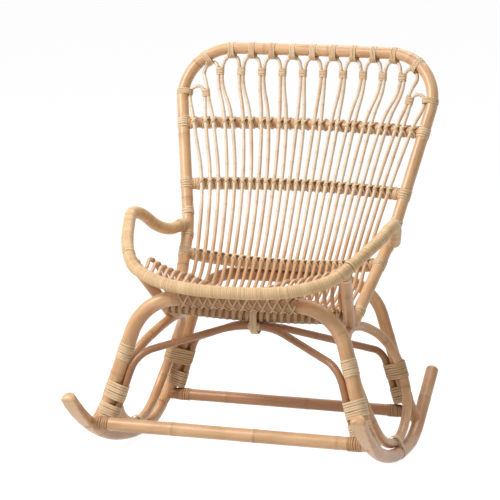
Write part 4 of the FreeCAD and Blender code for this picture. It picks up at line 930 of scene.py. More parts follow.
def wound(line, radius, pitch, crown_height, seed, sides=28, rows=6):
    """A pole closely wound with one strip. Rows of points follow the strip: a point's distance along the pole
    grows by one pitch round the circle, so each row goes on where the row one turn later starts. The height
    across the strip is a low arch with a narrow groove at its edge."""
    chance = np.random.default_rng(seed)
    run = measure(line)
    total = run[-1]
    turns = int(total / pitch) - 1
    pitch = total / (turns + 1)
    row = np.arange(turns * rows + 1)
    turn = row // rows
    angle = np.arange(sides) * TURN / sides
    at = np.clip(row[:, None] * (pitch / rows) + pitch * angle / TURN, 0, total)
    along, first, second = across(line)
    out = taken_at(at, run, first) * np.cos(angle)[:, None]
    out = out + taken_at(at, run, second) * np.sin(angle)[:, None]
    part = (row % rows) / rows
    arch = 1 - (2 * part - 1) ** 2
    uneven = chance.uniform(-WOUND_UNEVEN, WOUND_UNEVEN, turns + 2)[turn]
    height = radius - crown_height * (1 - arch) + crown_height * uneven * (part > 0)
    points = taken_at(at, run, line) + out * height[:, None, None]
    lay = np.zeros(points.shape)
    lay[..., 0] = turn[:, None] * TURN * radius + angle * radius + seed
    lay[..., 1] = ((part - 0.5) * pitch)[:, None]
    tone = TONE.wound + chance.uniform(-STRIP_SPREAD, STRIP_SPREAD, turns + 2)[turn]
    # Painted shade: a dark line in the groove between turns, uneven from turn to turn
    edge = (1 - arch) ** GROOVE_SHADE_POWER * chance.uniform(*GROOVE_SHADES, turns + 2)[turn]
    tones = np.repeat(tone[:, None], sides, axis=1)
    edges = np.repeat(edge[:, None], sides, axis=1)
    ring, side = np.meshgrid(row[:-1], np.arange(sides), indexing="ij")
    wraps = side == sides - 1
    after = np.where(wraps, 0, side + 1)
    onward = ring + np.where(wraps, rows, 0)
    near = ring * sides + side
    far = onward * sides + after
    quads = np.stack([near, far, far + sides, near + sides], axis=-1).reshape(-1, 4)
    number = np.arange(edges.size).reshape(edges.shape)
    quads = quads[(quads < edges.size).all(axis=1)]
    start = np.concatenate([number[0], number[rows:0:-1, 0]])[::-1]
    end = np.concatenate([number[-1], number[-2:-rows - 2:-1, -1]])
    return surface(points, quads, [start.tolist(), end.tolist()], lay, edges, np.zeros(edges.shape), tones)


def crossed_lashing(place, rail_along, rod_along, front, rail_radius, rod_radius, cane, seed):
    """Two turns of strip that cross over a rod and pass behind its rail. Its angle goes twice round the rail.
    In front it swings from one side of the rod to the other by a sine, behind it stays beside the rod, and
    over the rod it keeps to the rod's round."""
    angle = np.linspace(0, 2 * TURN, LASHING_POINTS)
    turned = (angle + math.pi) % TURN - math.pi
    sign = np.where((angle > TURN / 2) & (angle < 1.5 * TURN), -1, 1)
    swing = np.sin(np.clip(turned / LASHING_FRONT, -1, 1) * math.pi / 2) * sign
    sideways = cane.lashing_reach * swing
    upward = (rail_radius + RAIL_PLAY) * np.sin(turned)
    forward = (rail_radius + RAIL_PLAY) * np.cos(turned)
    room = rod_radius + ROD_PLAY
    over = rail_radius + rod_radius + np.sqrt(np.clip(room ** 2 - sideways ** 2, 0, None))
    in_front = (np.abs(turned) < LASHING_FRONT) & (np.abs(sideways) < room)
    forward = np.where(in_front, np.maximum(forward, over), forward)
    around = np.concatenate([forward[-3:-1], forward, forward[1:3]])
    forward = np.maximum(forward, np.convolve(around, SMOOTHING, "valid"))
    line = place + rail_along * sideways[:, None] + rod_along * upward[:, None] + front * forward[:, None]
    lean = np.where(in_front, swing * LASHING_LEAN, 0)
    normal = front * np.cos(turned)[:, None] + rod_along * np.sin(turned)[:, None]
    normal = normal + rail_along * lean[:, None]
    return strip(line, unit(normal), cane.lashing_strip, cane.lashing_thickness, seed, closed=True)


# Pieces

def add_piece(name, shape, finish, slot, *nodes):
    """Makes a mesh piece of a shape, with its marks, finish and the nodes that it stands for."""
    mesh = bpy.data.meshes.new(name)
    mesh.from_pydata(shape.points, [], shape.quads.tolist() + shape.caps)
    mesh.polygons.foreach_set("use_smooth", np.ones(len(mesh.polygons), bool))
    for mark, values in shape.marks.items():
        kind = "FLOAT_VECTOR" if values.ndim == 2 else "FLOAT"
        layer = mesh.attributes.new(mark, kind, "POINT")
        layer.data.foreach_set("vector" if values.ndim == 2 else "value", values.astype(np.float32).ravel())
    mesh.materials.append(finish)
    mesh.update()
    piece = bpy.data.objects.new(name, mesh)
    bpy.context.scene.collection.objects.link(piece)
    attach(piece, "root")
    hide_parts(*nodes)


def add_pole(node, shape, finish):
    """A pole piece that stands for one node."""
    add_piece("pole_" + node, shape, finish, "pole", node)


def add_cane(node, shape, finish):
    """A cane piece that stands for one node."""
    add_piece("cane_" + node, shape, finish, "cane", node)


# Finishes

class Finish:
    """A node material made step by step."""

    def __init__(self, name):
        self.material = bpy.data.materials.new(name)
        self.material.use_nodes = True
        self.tree = self.material.node_tree
        self.shader = self.tree.nodes["Principled BSDF"]

    def add(self, kind, sockets=None, **settings):
        """A node with its settings, and socket values or links by socket name or number."""
        node = self.tree.nodes.new(kind)
        for key, value in settings.items():
            setattr(node, key, value)
        for key, value in (sockets or {}).items():
            self.put(node.inputs[key], value)
        return node

    def put(self, socket, value):
        if isinstance(value, bpy.types.NodeSocket):
            self.tree.links.new(value, socket)
        else:
            socket.default_value = value

    def mark(self, name):
        """A mesh attribute: its vector or its number."""
        node = self.add("ShaderNodeAttribute", attribute_name=name)
        return node.outputs["Vector"] if name == "lay" else node.outputs["Fac"]

    def noise(self, scale, detail, rough=0.55):
        """Noise on the pole's own straightened coordinates, stretched by three scales."""
        mapping = self.add("ShaderNodeMapping", {"Vector": self.mark("lay"), "Scale": scale})
        sockets = {"Vector": mapping.outputs[0], "Scale": 1.0, "Detail": detail, "Roughness": rough}
        node = self.add("ShaderNodeTexNoise", sockets)
        return node.outputs["Fac"]

    def range(self, value, low, high, to_low=0.0, to_high=1.0):
        node = self.add("ShaderNodeMapRange", {0: value, 1: low, 2: high, 3: to_low, 4: to_high})
        return node.outputs[0]

    def math(self, kind, first, second):
        return self.add("ShaderNodeMath", {0: first, 1: second}, operation=kind).outputs[0]

    def mix(self, part, first, second):
        node = self.add("ShaderNodeMix", {0: part, 6: first, 7: second}, data_type="RGBA")
        return node.outputs[2]

    def bump(self, height, strength, distance):
        node = self.add("ShaderNodeBump", {"Height": height, "Strength": strength, "Distance": distance})
        self.put(self.shader.inputs["Normal"], node.outputs[0])


def rgba(value):
    return (*value, 1.0)


def grown_finish(name, light, dark, ring, cut_face, gloss):
    """Rattan with its skin on: long streaks, soft patches, dark rings and bare cut faces, under a thin
    lacquer. Its tone and ring marks also carry painted shade on some pieces."""
    finish = Finish(name)
    streaks = finish.noise((14, 520, 520), 5, 0.65)
    patches = finish.noise((11, 34, 34), 3)
    specks = finish.noise((160, 420, 420), 2)
    tone = finish.math("ADD", finish.mark("tone"), finish.range(patches, 0.3, 0.7, -0.42, 0.42))
    tone = finish.math("ADD", tone, finish.range(streaks, 0.25, 0.75, -0.28, 0.28))
    body = finish.mix(finish.range(tone, 0.0, 1.0), rgba(light), rgba(dark))
    spots = finish.range(specks, 0.64, 0.74, 0.0, 0.35)
    body = finish.mix(spots, body, rgba(ring))
    broken = finish.math("MULTIPLY", finish.mark("ring"), finish.range(patches, 0.25, 0.65, 0.12, 0.75))
    body = finish.mix(broken, body, rgba(ring))
    bare = finish.mix(finish.range(streaks, 0.3, 0.7), rgba(cut_face), rgba(light))
    body = finish.mix(finish.mark("cut"), body, bare)
    finish.put(finish.shader.inputs["Base Color"], body)
    finish.put(finish.shader.inputs["Roughness"], finish.range(streaks, 0.2, 0.8, gloss, gloss + 0.16))
    finish.shader.inputs["Coat Weight"].default_value = 0.3
    finish.shader.inputs["Coat Roughness"].default_value = 0.28
    finish.bump(finish.math("ADD", streaks, finish.math("MULTIPLY", patches, 0.6)), 0.35, 0.0006)
    return finish.material


def cane_finish(name, light, dark, edges):
    """Split cane: fine fibres along the strip and painted shade that darkens its edges and grooves by a
    share, each turn with its own tone.
    """
    finish = Finish(name)
    fibres = finish.noise((30, 1900, 1900), 4, 0.6)
    stains = finish.noise((22, 60, 60), 3)
    tone = finish.math("ADD", finish.mark("tone"), finish.range(stains, 0.3, 0.7, -0.3, 0.3))
    tone = finish.math("ADD", tone, finish.range(fibres, 0.3, 0.7, -0.22, 0.22))
    body = finish.mix(finish.range(tone, 0.1, 1.15), rgba(light), rgba(dark))
    # Painted shade at the strips' sides and in the grooves between turns, towards a darker copy of the dark
    # colour
    edge = finish.math("MULTIPLY", finish.range(finish.mark("ring"), 0.4, 1.0), edges)
    shade = [0.45 * part for part in dark]
    body = finish.mix(edge, body, rgba(shade))
    finish.put(finish.shader.inputs["Base Color"], body)
    finish.put(finish.shader.inputs["Roughness"], finish.range(fibres, 0.2, 0.8, 0.4, 0.6))
    finish.bump(fibres, 0.3, 0.0004)
    return finish.material


def finishes():
    """The chair's finishes, made once."""
    hue = bpy.context.scene.chair_colours
    if "rattan_pole" not in bpy.data.materials:
        grown_finish("rattan_pole", hue.pole_light, hue.pole_dark, hue.pole_ring, hue.cut_face, gloss=0.34)
        # Painted shade: a darker copy of the pole finish
        grown_finish("dark_pole", hue.deep_light, hue.deep_dark, hue.deep_dark, hue.cut_face, gloss=0.32)
        grown_finish("rattan_rod", hue.rod_light, hue.rod_dark, hue.rod_dark, hue.rod_light, gloss=0.38)
        cane_finish("split_cane", hue.cane_light, hue.cane_dark, edges=0.35)
        cane_finish("wound_cane", hue.wrap_light, hue.wrap_dark, edges=0.95)
        cane_finish("cuff_cane", hue.cuff_light, hue.cuff_dark, edges=0.8)
    named = bpy.data.materials
    return SimpleNamespace(pole=named["rattan_pole"], deep=named["dark_pole"], rod=named["rattan_rod"],
                           cane=named["split_cane"], wrap=named["wound_cane"], cuff=named["cuff_cane"])


def workshop():
    """Sizes, cane sizes, lines and finishes that every operator needs."""
    scene = bpy.context.scene
    return scene.chair_sizes, scene.chair_cane, chair_lines(scene.chair_sizes), finishes()


# Operators

class CHAIR_OT_runners(bpy.types.Operator):
    """Makes the two bent runners with a flat scarf cut under each front end"""
    bl_idname = "chair.runners"
    bl_label = "Runners"

    def execute(self, context):
        z, cane, p, finish = workshop()
        line = even(runner_line(z), POLE_STEP)
        butt_length = 0.7 * cane.scarf_length
        under = unit(vec(0, -0.62, -0.78))
        least_facing = 0.05
        bare_below = 0.995

        def scarf(run, out, reach):
            """Thickens the front end and cuts it by a plane below, whose depth falls evenly to nothing."""
            butt = 1 + cane.butt_swell * np.exp(-(run / butt_length) ** 2)
            reach = reach * butt[:, None]
            depth = 1 - cane.scarf_depth * np.clip(1 - run / cane.scarf_length, 0, 1)
            plane = (depth * reach[:, 0])[:, None] / np.maximum(out @ under, least_facing)
            return np.minimum(reach, plane), (plane < reach * bare_below).astype(float)

        for name, side in SIDES:
            # Painted shade: the right runner is toned darker than the left
            tone = TONE.runner + TONE.runner_side * side
            shape = pole(on_side(line, side), z.runner_radius, cane, SEED.runner + side, sides=40,
                         shape=scarf, tone=tone)
            add_pole(name + "_runner", shape, finish.pole)
        return {"FINISHED"}


class CHAIR_OT_legs(bpy.types.Operator):
    """Makes the front and rear arches and the two stretchers"""
    bl_idname = "chair.legs"
    bl_label = "Legs and stretchers"

    def execute(self, context):
        z, cane, p, finish = workshop()
        for node, leg, bend in (("front_arch", p.front_leg, z.front_bend),
                                ("rear_arch", p.rear_leg, z.rear_bend)):
            line = even(arch_line(leg, bend), POLE_STEP)
            shape = pole(line, leg.radius, cane, getattr(SEED, node), sides=28, tone=getattr(TONE, node))
            # Painted shade: both arches are darkened in their middles, under the rim and the seat, through
            # the tone and ring marks
            laced_shade = np.clip((LACED_SHADE_HALF - np.abs(shape.points[:, 0])) / LACED_SHADE_FADE, 0, 1)
            shape.marks["tone"] += LACED_SHADE * laced_shade
            shape.marks["ring"] += LACED_SHADE * laced_shade
            add_pole(node, shape, finish.pole)
        front = vec(runner_x(z, p.stretcher_y), p.stretcher_y, runner_z(z, p.stretcher_y))
        rear = p.rear_leg.at(z.stretcher_rear_z)
        # The rear stretcher takes the darker copy of the pole finish, as painted shade
        for node, end, radius, skin in (("front_stretcher", front, z.stretcher_front, finish.pole),
                                        ("rear_stretcher", rear, z.stretcher_rear, finish.deep)):
            line = even(np.array([end, flip(end)]), POLE_STEP)
            shape = pole(line, radius, cane, getattr(SEED, node), tone=getattr(TONE, node))
            add_pole(node, shape, skin)
        return {"FINISHED"}


class CHAIR_OT_side_loops(bpy.types.Operator):
    """Makes the round loops between the legs and the straps that hold them on the runners"""
    bl_idname = "chair.side_loops"
    bl_label = "Side loops"

    def execute(self, context):
        z, cane, p, finish = workshop()
        foot = p.loop[0]
        below = vec(runner_x(z, foot[1]), foot[1], runner_z(z, foot[1]))
        apart = foot - below
        reach = np.linalg.norm(apart)
        straps = []
        for seed, offset in enumerate((-0.4, 0.6), start=SEED.strap):
            centre = (foot + below) / 2 + vec(0, offset * cane.wide_strip, 0)
            straps.append(coil(centre, vec(0, 1, 0), apart, reach, z.runner_radius + z.fit_gap, 1,
                               cane.wide_strip, cane.wide_strip, cane.strip_thickness, seed, points=32))
        straps = joined(straps)
        add_cane("side_loop_straps", joined([straps, mirrored(straps)]), finish.cane)
        line = even(p.loop, POLE_STEP)
        for name, side in SIDES:
            shape = pole(on_side(line, side), z.loop_radius, cane, SEED.side_loop + side, sides=20,
                         closed=True, tone=TONE.side_loop)
            add_pole(name + "_side_loop", shape, finish.pole)
        return {"FINISHED"}


class CHAIR_OT_back(bpy.types.Operator):
    """Makes the back frame and its three rails"""
    bl_idname = "chair.back"
    bl_label = "Back frame and rails"

    def execute(self, context):
        z, cane, p, finish = workshop()
        shape = pole(even(p.frame, POLE_STEP), z.frame_radius, cane, SEED.frame, sides=28, tone=TONE.frame)
        add_pole("back_frame", shape, finish.pole)
        for seed, (name, rail) in enumerate(p.rails.items(), start=SEED.rail):
            shape = pole(even(rail.line, POLE_STEP), z.rail_radius, cane, seed, tone=TONE.rail)
            add_pole(name + "_rail", shape, finish.pole)
        return {"FINISHED"}


class CHAIR_OT_seat_poles(bpy.types.Operator):
    """Makes the side posts, the rail under the seat and the two braces"""
    bl_idname = "chair.seat_poles"
    bl_label = "Posts, seat rail and braces"

    def execute(self, context):
        z, cane, p, finish = workshop()
        for name, side in SIDES:
            line = even(on_side(p.post, side), POLE_STEP)
            shape = pole(line, z.post_radius, cane, SEED.post + side, tone=TONE.post)
            add_pole(name + "_side_post", shape, finish.pole)
        # The seat rail and braces take the darker copy of the pole finish, as painted shade
        line = even(p.seat_rail.line, POLE_STEP)
        shape = pole(line, z.seat_rail_radius, cane, SEED.seat_rail, tone=TONE.seat_rail)
        add_pole("seat_rail", shape, finish.deep)
        for seed, node in enumerate(("front_brace", "rear_brace"), start=SEED.brace):
            line = even(getattr(p, node), POLE_STEP)
            shape = pole(line, z.brace_radius, cane, seed, sides=20, tone=TONE.brace)
            add_pole(node, shape, finish.deep)
        return {"FINISHED"}


class CHAIR_OT_rods(bpy.types.Operator):
    """Makes the thirteen rod loops of the seat and back"""
    bl_idname = "chair.rods"
    bl_label = "Rod loops"

    def execute(self, context):
        z, cane, p, finish = workshop()
        for loop, rod in p.rods.items():
            down = [(point, -heading) for point, heading in rod.right[::-1]]
            line = even(flowing(rod.left + [rod.top] + down), POLE_STEP)
            shape = pole(line, z.rod_radius, cane, SEED.rod + loop, sides=12, tone=TONE.rod)
            # Painted shade: the rods darken from the back's foot towards the front of the seat
            seat = np.clip((SEAT_SHADE_START - shape.points[:, 1]) / SEAT_SHADE_RUN, 0, 1)
            shape.marks["tone"] += SEAT_SHADE * seat
            add_piece("rod_loop_%02d" % loop, shape, finish.rod, "rod", "spindle_loop_%02d" % loop)
        return {"FINISHED"}


class CHAIR_OT_wound_hoop(bpy.types.Operator):
    """Makes the arms and the front rim, closely wound with cane strip"""
    bl_idname = "chair.wound_hoop"
    bl_label = "Wound arms and rim"

    def execute(self, context):
        z, cane, p, finish = workshop()
        lengths = []
        for name, side in SIDES:
            arm = on_side(p.arm, side)
            lengths.append((name + "_arm", arm, cane.arm_strip, SEED.arm_wrap + side, SEED.arm + side))
        lengths.append(("front_rim", p.rim, cane.rim_strip, SEED.rim_wrap, SEED.rim))
        for node, course, width, wrap_seed, core_seed in lengths:
            line = even(course, FINE_STEP)
            shape = wound(line, p.hoop_outer, width, cane.strip_crown, wrap_seed)
            add_cane(node + "_wrap", shape, finish.wrap)
            core = pole(even(line, CORE_STEP), z.hoop_radius, cane, core_seed, sides=16, tone=TONE.core)
            add_pole(node, core, finish.pole)
        return {"FINISHED"}


class CHAIR_OT_bindings(bpy.types.Operator):
    """Makes the bindings of the legs, the cuffs of the stretchers and the bands of the back's joints"""
    bl_idname = "chair.bindings"
    bl_label = "Bindings, cuffs and bands"

    def execute(self, context):
        self.z, self.cane, self.p, self.finish = workshop()
        self.seed = SEED.binding
        self.leg_bindings()
        self.cuffs()
        self.rail_bands()
        self.arm_bands()
        return {"FINISHED"}

    def leg_bindings(self):
        """Three bindings on each front leg and two on each rear leg."""
        z, p, finish = self.z, self.p, self.finish
        front = [self.leg(p.front_leg, z.front_binding_high_z, False),
                 self.leg(p.front_leg, z.front_binding_low_z, True),
                 self.leg(p.front_leg, z.front_binding_foot_z, True)]
        rear = [self.bundle(p.rear_leg, z.rear_binding_high_z),
                self.leg(p.rear_leg, z.rear_binding_low_z, True)]
        for name, shapes, skin in (("front", front, finish.cane), ("rear", rear, finish.wrap)):
            right = joined(shapes)
            for hand, shape in (("right", right), ("left", mirrored(right))):
                add_cane("%s_%s_leg_bindings" % (hand, name), shape, skin)

    def cuffs(self):
        """A cuff at each end of both stretchers, beside the runner or the leg."""
        z, cane, p = self.z, self.cane, self.p
        band = (cane.cuff_turns + 1) * cane.band_strip / 2
        x = runner_x(z, p.stretcher_y) - z.runner_radius - band
        place = vec(x, p.stretcher_y, runner_z(z, p.stretcher_y))
        cuff = self.ring(place, vec(1, 0, 0), z.stretcher_front, cane.cuff_turns)
        self.both("front_stretcher_cuffs", [cuff], self.finish.cuff)
        leg = p.rear_leg
        x = leg.at(z.stretcher_rear_z + z.stretcher_rear)[0] - leg.radius / leg.along[2] - band
        place = vec(x, z.rear_y, z.stretcher_rear_z)
        cuff = self.ring(place, vec(1, 0, 0), z.stretcher_rear, cane.cuff_turns)
        self.both("rear_stretcher_cuffs", [cuff], self.finish.cuff)

    def rail_bands(self):
        """A band on the frame and one on the rail at each end of the back rails."""
        z, cane, p = self.z, self.cane, self.p
        for name, rail in p.rails.items():
            place, along = place_on(p.frame, 2, rail.end[2])
            sleeve = cane.sleeve_turns * cane.band_strip / 2
            start, heading = rail.at(rail.end[0] - z.frame_radius - sleeve)
            shapes = [self.ring(place, along, z.frame_radius, cane.joint_turns),
                      self.ring(start, heading, z.rail_radius, cane.sleeve_turns)]
            self.both(name + "_rail_bands", shapes, self.finish.cane)

    def arm_bands(self):
        """Bands above and below the arm on the frame, on the arm's two ends, at the frame's foot and on the
        post's top."""
        z, cane, p = self.z, self.cane, self.p
        shapes = []
        for offset in (-1, 1):
            height = p.arm_joint[2] + offset * (p.hoop_outer + 2 * cane.band_strip)
            place, along = place_on(p.frame, 2, height)
            shapes.append(self.ring(place, along, z.frame_radius, cane.sleeve_turns))
        line = even(p.arm, FINE_STEP)
        index = int((z.frame_radius + 2.5 * cane.band_strip) / FINE_STEP)
        shapes.append(self.ring(line[index], line[index + 1] - line[index], p.hoop_outer, cane.sleeve_turns))
        shapes.append(self.ring(line[-1], line[-1] - line[-2], p.hoop_outer, 1))
        place, along = place_on(p.frame, 2, p.frame[0][2] + z.loop_radius + 3 * cane.band_strip)
        shapes.append(self.ring(place, along, z.frame_radius, cane.sleeve_turns))
        down = p.post[0] - p.post[1]
        top = p.post[1] + unit(down) * (p.hoop_outer + 2 * cane.band_strip)
        shapes.append(self.ring(top, down, z.post_radius, cane.sleeve_turns - 1))
        self.both("arm_joint_bands", shapes, self.finish.cane)

    def leg(self, leg, height, braced):
        """A binding round a leg, or round a leg and the brace beside it."""
        z, cane = self.z, self.cane
        reach = 2 * z.brace_radius + z.fit_gap if braced else 0
        centre = leg.at(height) + leg.inward * (reach / 2)
        self.seed += 1
        return coil(centre, leg.along, leg.inward, reach, leg.radius + z.fit_gap, cane.binding_turns,
                    cane.band_strip, cane.band_strip * CLOSE_SHARE, cane.strip_thickness, self.seed,
                    points=28)

    def bundle(self, leg, height):
        """A binding round a leg, its brace and the side loop: at each angle the path lies on whichever of the
        three circles reaches furthest that way."""
        z, cane = self.z, self.cane
        centre = leg.at(height)
        cross = np.cross(leg.along, leg.inward)
        apart = place_on(self.p.loop, 2, height)[0] - centre
        beside = leg.radius + z.brace_radius + z.fit_gap
        middles = np.array([(0, 0), (beside, 0), (apart @ leg.inward, apart @ cross)])
        radii = np.array([leg.radius, z.brace_radius, z.loop_radius + cane.strip_thickness]) + z.fit_gap
        points = 36
        angle = np.arange(points * cane.binding_turns) * TURN / points
        facing = np.stack([np.cos(angle), np.sin(angle)], axis=1)
        furthest = (facing @ middles.T + radii).argmax(axis=1)
        flat = middles[furthest] + facing * radii[furthest][:, None]
        plane = np.array([leg.inward, cross])
        self.seed += 1
        return wind(centre, leg.along, flat @ plane, facing @ plane, leg.radius, cane.binding_turns,
                    cane.band_strip, cane.band_strip * CLOSE_SHARE, cane.strip_thickness, self.seed)

    def ring(self, centre, axis, radius, turns):
        """A band of turns round one pole."""
        z, cane = self.z, self.cane
        steep = 0.7
        side = vec(0, 0, 1) if abs(unit(axis)[2]) < steep else vec(1, 0, 0)
        self.seed += 1
        return coil(centre, axis, side, 0, radius + z.fit_gap, turns, cane.band_strip,
                    cane.band_strip * CLOSE_SHARE, cane.strip_thickness, self.seed, points=24)

    def both(self, node, shapes, skin):
        """The same bands on both sides of the chair as one piece."""
        right = joined(shapes)
        add_cane(node, joined([right, mirrored(right)]), skin)


class CHAIR_OT_ties(bpy.types.Operator):
    """Makes the ties of the braces, of the loop tops and of the necks between the loops"""
    bl_idname = "chair.ties"
    bl_label = "Ties"

    def execute(self, context):
        z, cane, p, finish = workshop()
        size = (z.cane_pitch, cane.strip_width, cane.strip_thickness)
        middle = vec(0, z.seat_rail_y, p.brace_z)
        braces = coil(middle, vec(1, 0, 0), vec(0, 1, 0), 2 * z.brace_radius + z.fit_gap,
                      z.brace_radius + z.fit_gap, z.band_turns + 3, *size, SEED.brace_tie)
        hung = z.seat_rail_z - p.brace_z
        holder = coil(middle + vec(0, 0, hung / 2), vec(1, 0, 0), vec(0, 0, 1), hung,
                      z.brace_radius * 2 + z.fit_gap + cane.strip_thickness, z.band_turns, *size,
                      SEED.brace_tie + 1)
        add_cane("brace_tie", joined([braces, holder]), finish.cane)
        reach = 2 * z.rod_radius + 2 * z.fit_gap

        def tie(place, along, touch, turns, seed):
            """A tie round the frame and the rod that touches it."""
            inward = unit(touch - place)
            return coil(place + inward * (reach / 2), along, inward, reach, z.frame_radius + z.fit_gap, turns,
                        *size, seed)

        tops = []
        for loop in range(2, LOOPS):
            place, along = frame_top(p, top_x(z, loop))
            tops.append(tie(place, along, loop_top(z, p, loop)[0], cane.top_tie_turns, SEED.top_tie + loop))
        place, along = place_on(p.frame, 2, p.end_touch_z)
        end = tie(place, along, p.side_touch[0], cane.top_tie_turns - 1, SEED.end_tie)
        add_cane("top_ties", joined(tops + [end, mirrored(end)]), finish.cane)
        necks = []
        for number in range(1, LOOPS):
            outward = {1: -OUTWARD, LOOPS - 1: OUTWARD}.get(number, 0)
            along = unit(p.rise + vec(outward, 0, 0))
            necks.append(coil(neck(z, p, number), along, vec(1, 0, 0), 2 * p.beside_rod,
                              z.rod_radius + z.fit_gap, cane.neck_tie_turns, *size, SEED.neck_tie + number))
        add_cane("neck_ties", joined(necks), finish.cane)
        return {"FINISHED"}


class CHAIR_OT_lashings(bpy.types.Operator):
    """Makes the crossed lashings that hold the rods on the back rails and on the seat rail"""
    bl_idname = "chair.lashings"
    bl_label = "Lashings"

    def execute(self, context):
        z, cane, p, finish = workshop()
        for index, (name, rail) in enumerate(p.rails.items(), start=FIRST_BACK_STOP):
            shapes = self.row(p, index, rail, z.rail_radius, z, cane, SEED.lashing + SEED.each_rail * index)
            add_cane(name + "_rail_lashings", joined(shapes), finish.cane)
        shapes = self.row(p, SEAT_RAIL_STOP, p.seat_rail, z.seat_rail_radius, z, cane, SEED.seat_lashing)
        line = even(p.seat_rail.line, TWIST_STEP)
        phase = 0.4
        shapes.append(spiral(line, z.seat_rail_radius, z.rod_pitch_seat / 2, -1, phase, cane.twist_width,
                             cane.twist_thickness, SEED.twist))
        add_cane("seat_rail_lashings", joined(shapes), finish.wrap)
        return {"FINISHED"}

    def row(self, p, stop, rail, radius, z, cane, seed):
        """The lashings of all rods on one rail."""
        return [self.over(half[stop][0], rail, radius, z, cane, seed + number)
                for number, half in enumerate(rod_halves(p))]

    def over(self, place, rail, radius, z, cane, seed):
        """The lashing of one rod where it crosses a rail."""
        near, along = rail.at(place[0])
        near, along = rail.at(place[0] + (place - near) @ along * along[0])
        front = unit(place - near)
        upward = unit(np.cross(front, along))
        return crossed_lashing(near, along, upward, front, radius, z.rod_radius, cane, seed)


class CHAIR_OT_lacing(bpy.types.Operator):
    """Makes the lacing of rods, front arch and rim, and the collars on the rods' ends"""
    bl_idname = "chair.lacing"
    bl_label = "Front lacing"

    def execute(self, context):
        z, cane, p, finish = workshop()
        size = (z.cane_pitch, cane.strip_width, cane.strip_thickness)
        shapes = self.laces(z, cane) + self.zigzags(z, cane, p)
        for number, stops in enumerate(rod_halves(p)):
            place, heading = stops[1]
            shapes.append(coil(place, heading, vec(1, 0, 0), 0, z.rod_radius + z.fit_gap, cane.collar_turns,
                               *size, SEED.collar + number, points=12))
        add_cane("rim_lacing", joined(shapes), finish.wrap)
        return {"FINISHED"}

    def laces(self, z, cane):
        """Three strips each way round the front arch, a third of a turn apart, that cross on its top."""
        step = z.rod_pitch_rim / 2
        laced_steps = 8
        half = step * laced_steps
        pitch = 4 * step
        x = np.arange(-half, half, TWIST_STEP)
        line = np.stack([x, np.full_like(x, z.front_top_y), np.full_like(x, z.front_top_z)], axis=1)
        along, first, second = across(line)
        top = math.atan2(second[0][2], first[0][2])
        play = 0.0002
        crossing = 0.0009
        shapes = []
        for number in range(6):
            over = number % 2
            hand = 1 - 2 * over
            phase = top - hand * TURN * (half - step / 2) / pitch + TURN / 3 * (number // 2)
            radius = z.front_radius + play + over * crossing
            shapes.append(spiral(line, radius, pitch, hand, phase, cane.lace_width, cane.lace_thickness,
                                 SEED.lace + number))
        return shapes

    def zigzags(self, z, cane, p):
        """Two strips under the rods that go to and fro between the rim and the arch."""
        under = vec(0, 0, z.rod_radius + z.fit_gap + z.cane_radius)
        turns = (0.1, 0.62)
        unlaced = 4
        shapes = []
        for start in range(2):
            points = []
            for number, stops in enumerate(rod_halves(p)[unlaced:-unlaced]):
                part = turns[(number + start) % 2]
                points.append(stops[0][0] + (stops[1][0] - stops[0][0]) * part - under)
            line = even(rounded(np.array(points), {}), FINE_STEP)
            normal = np.tile(vec(0, 0, -1), (len(line), 1))
            shapes.append(strip(line, normal, cane.strip_width, cane.strip_thickness, SEED.zigzag + start))
        return shapes


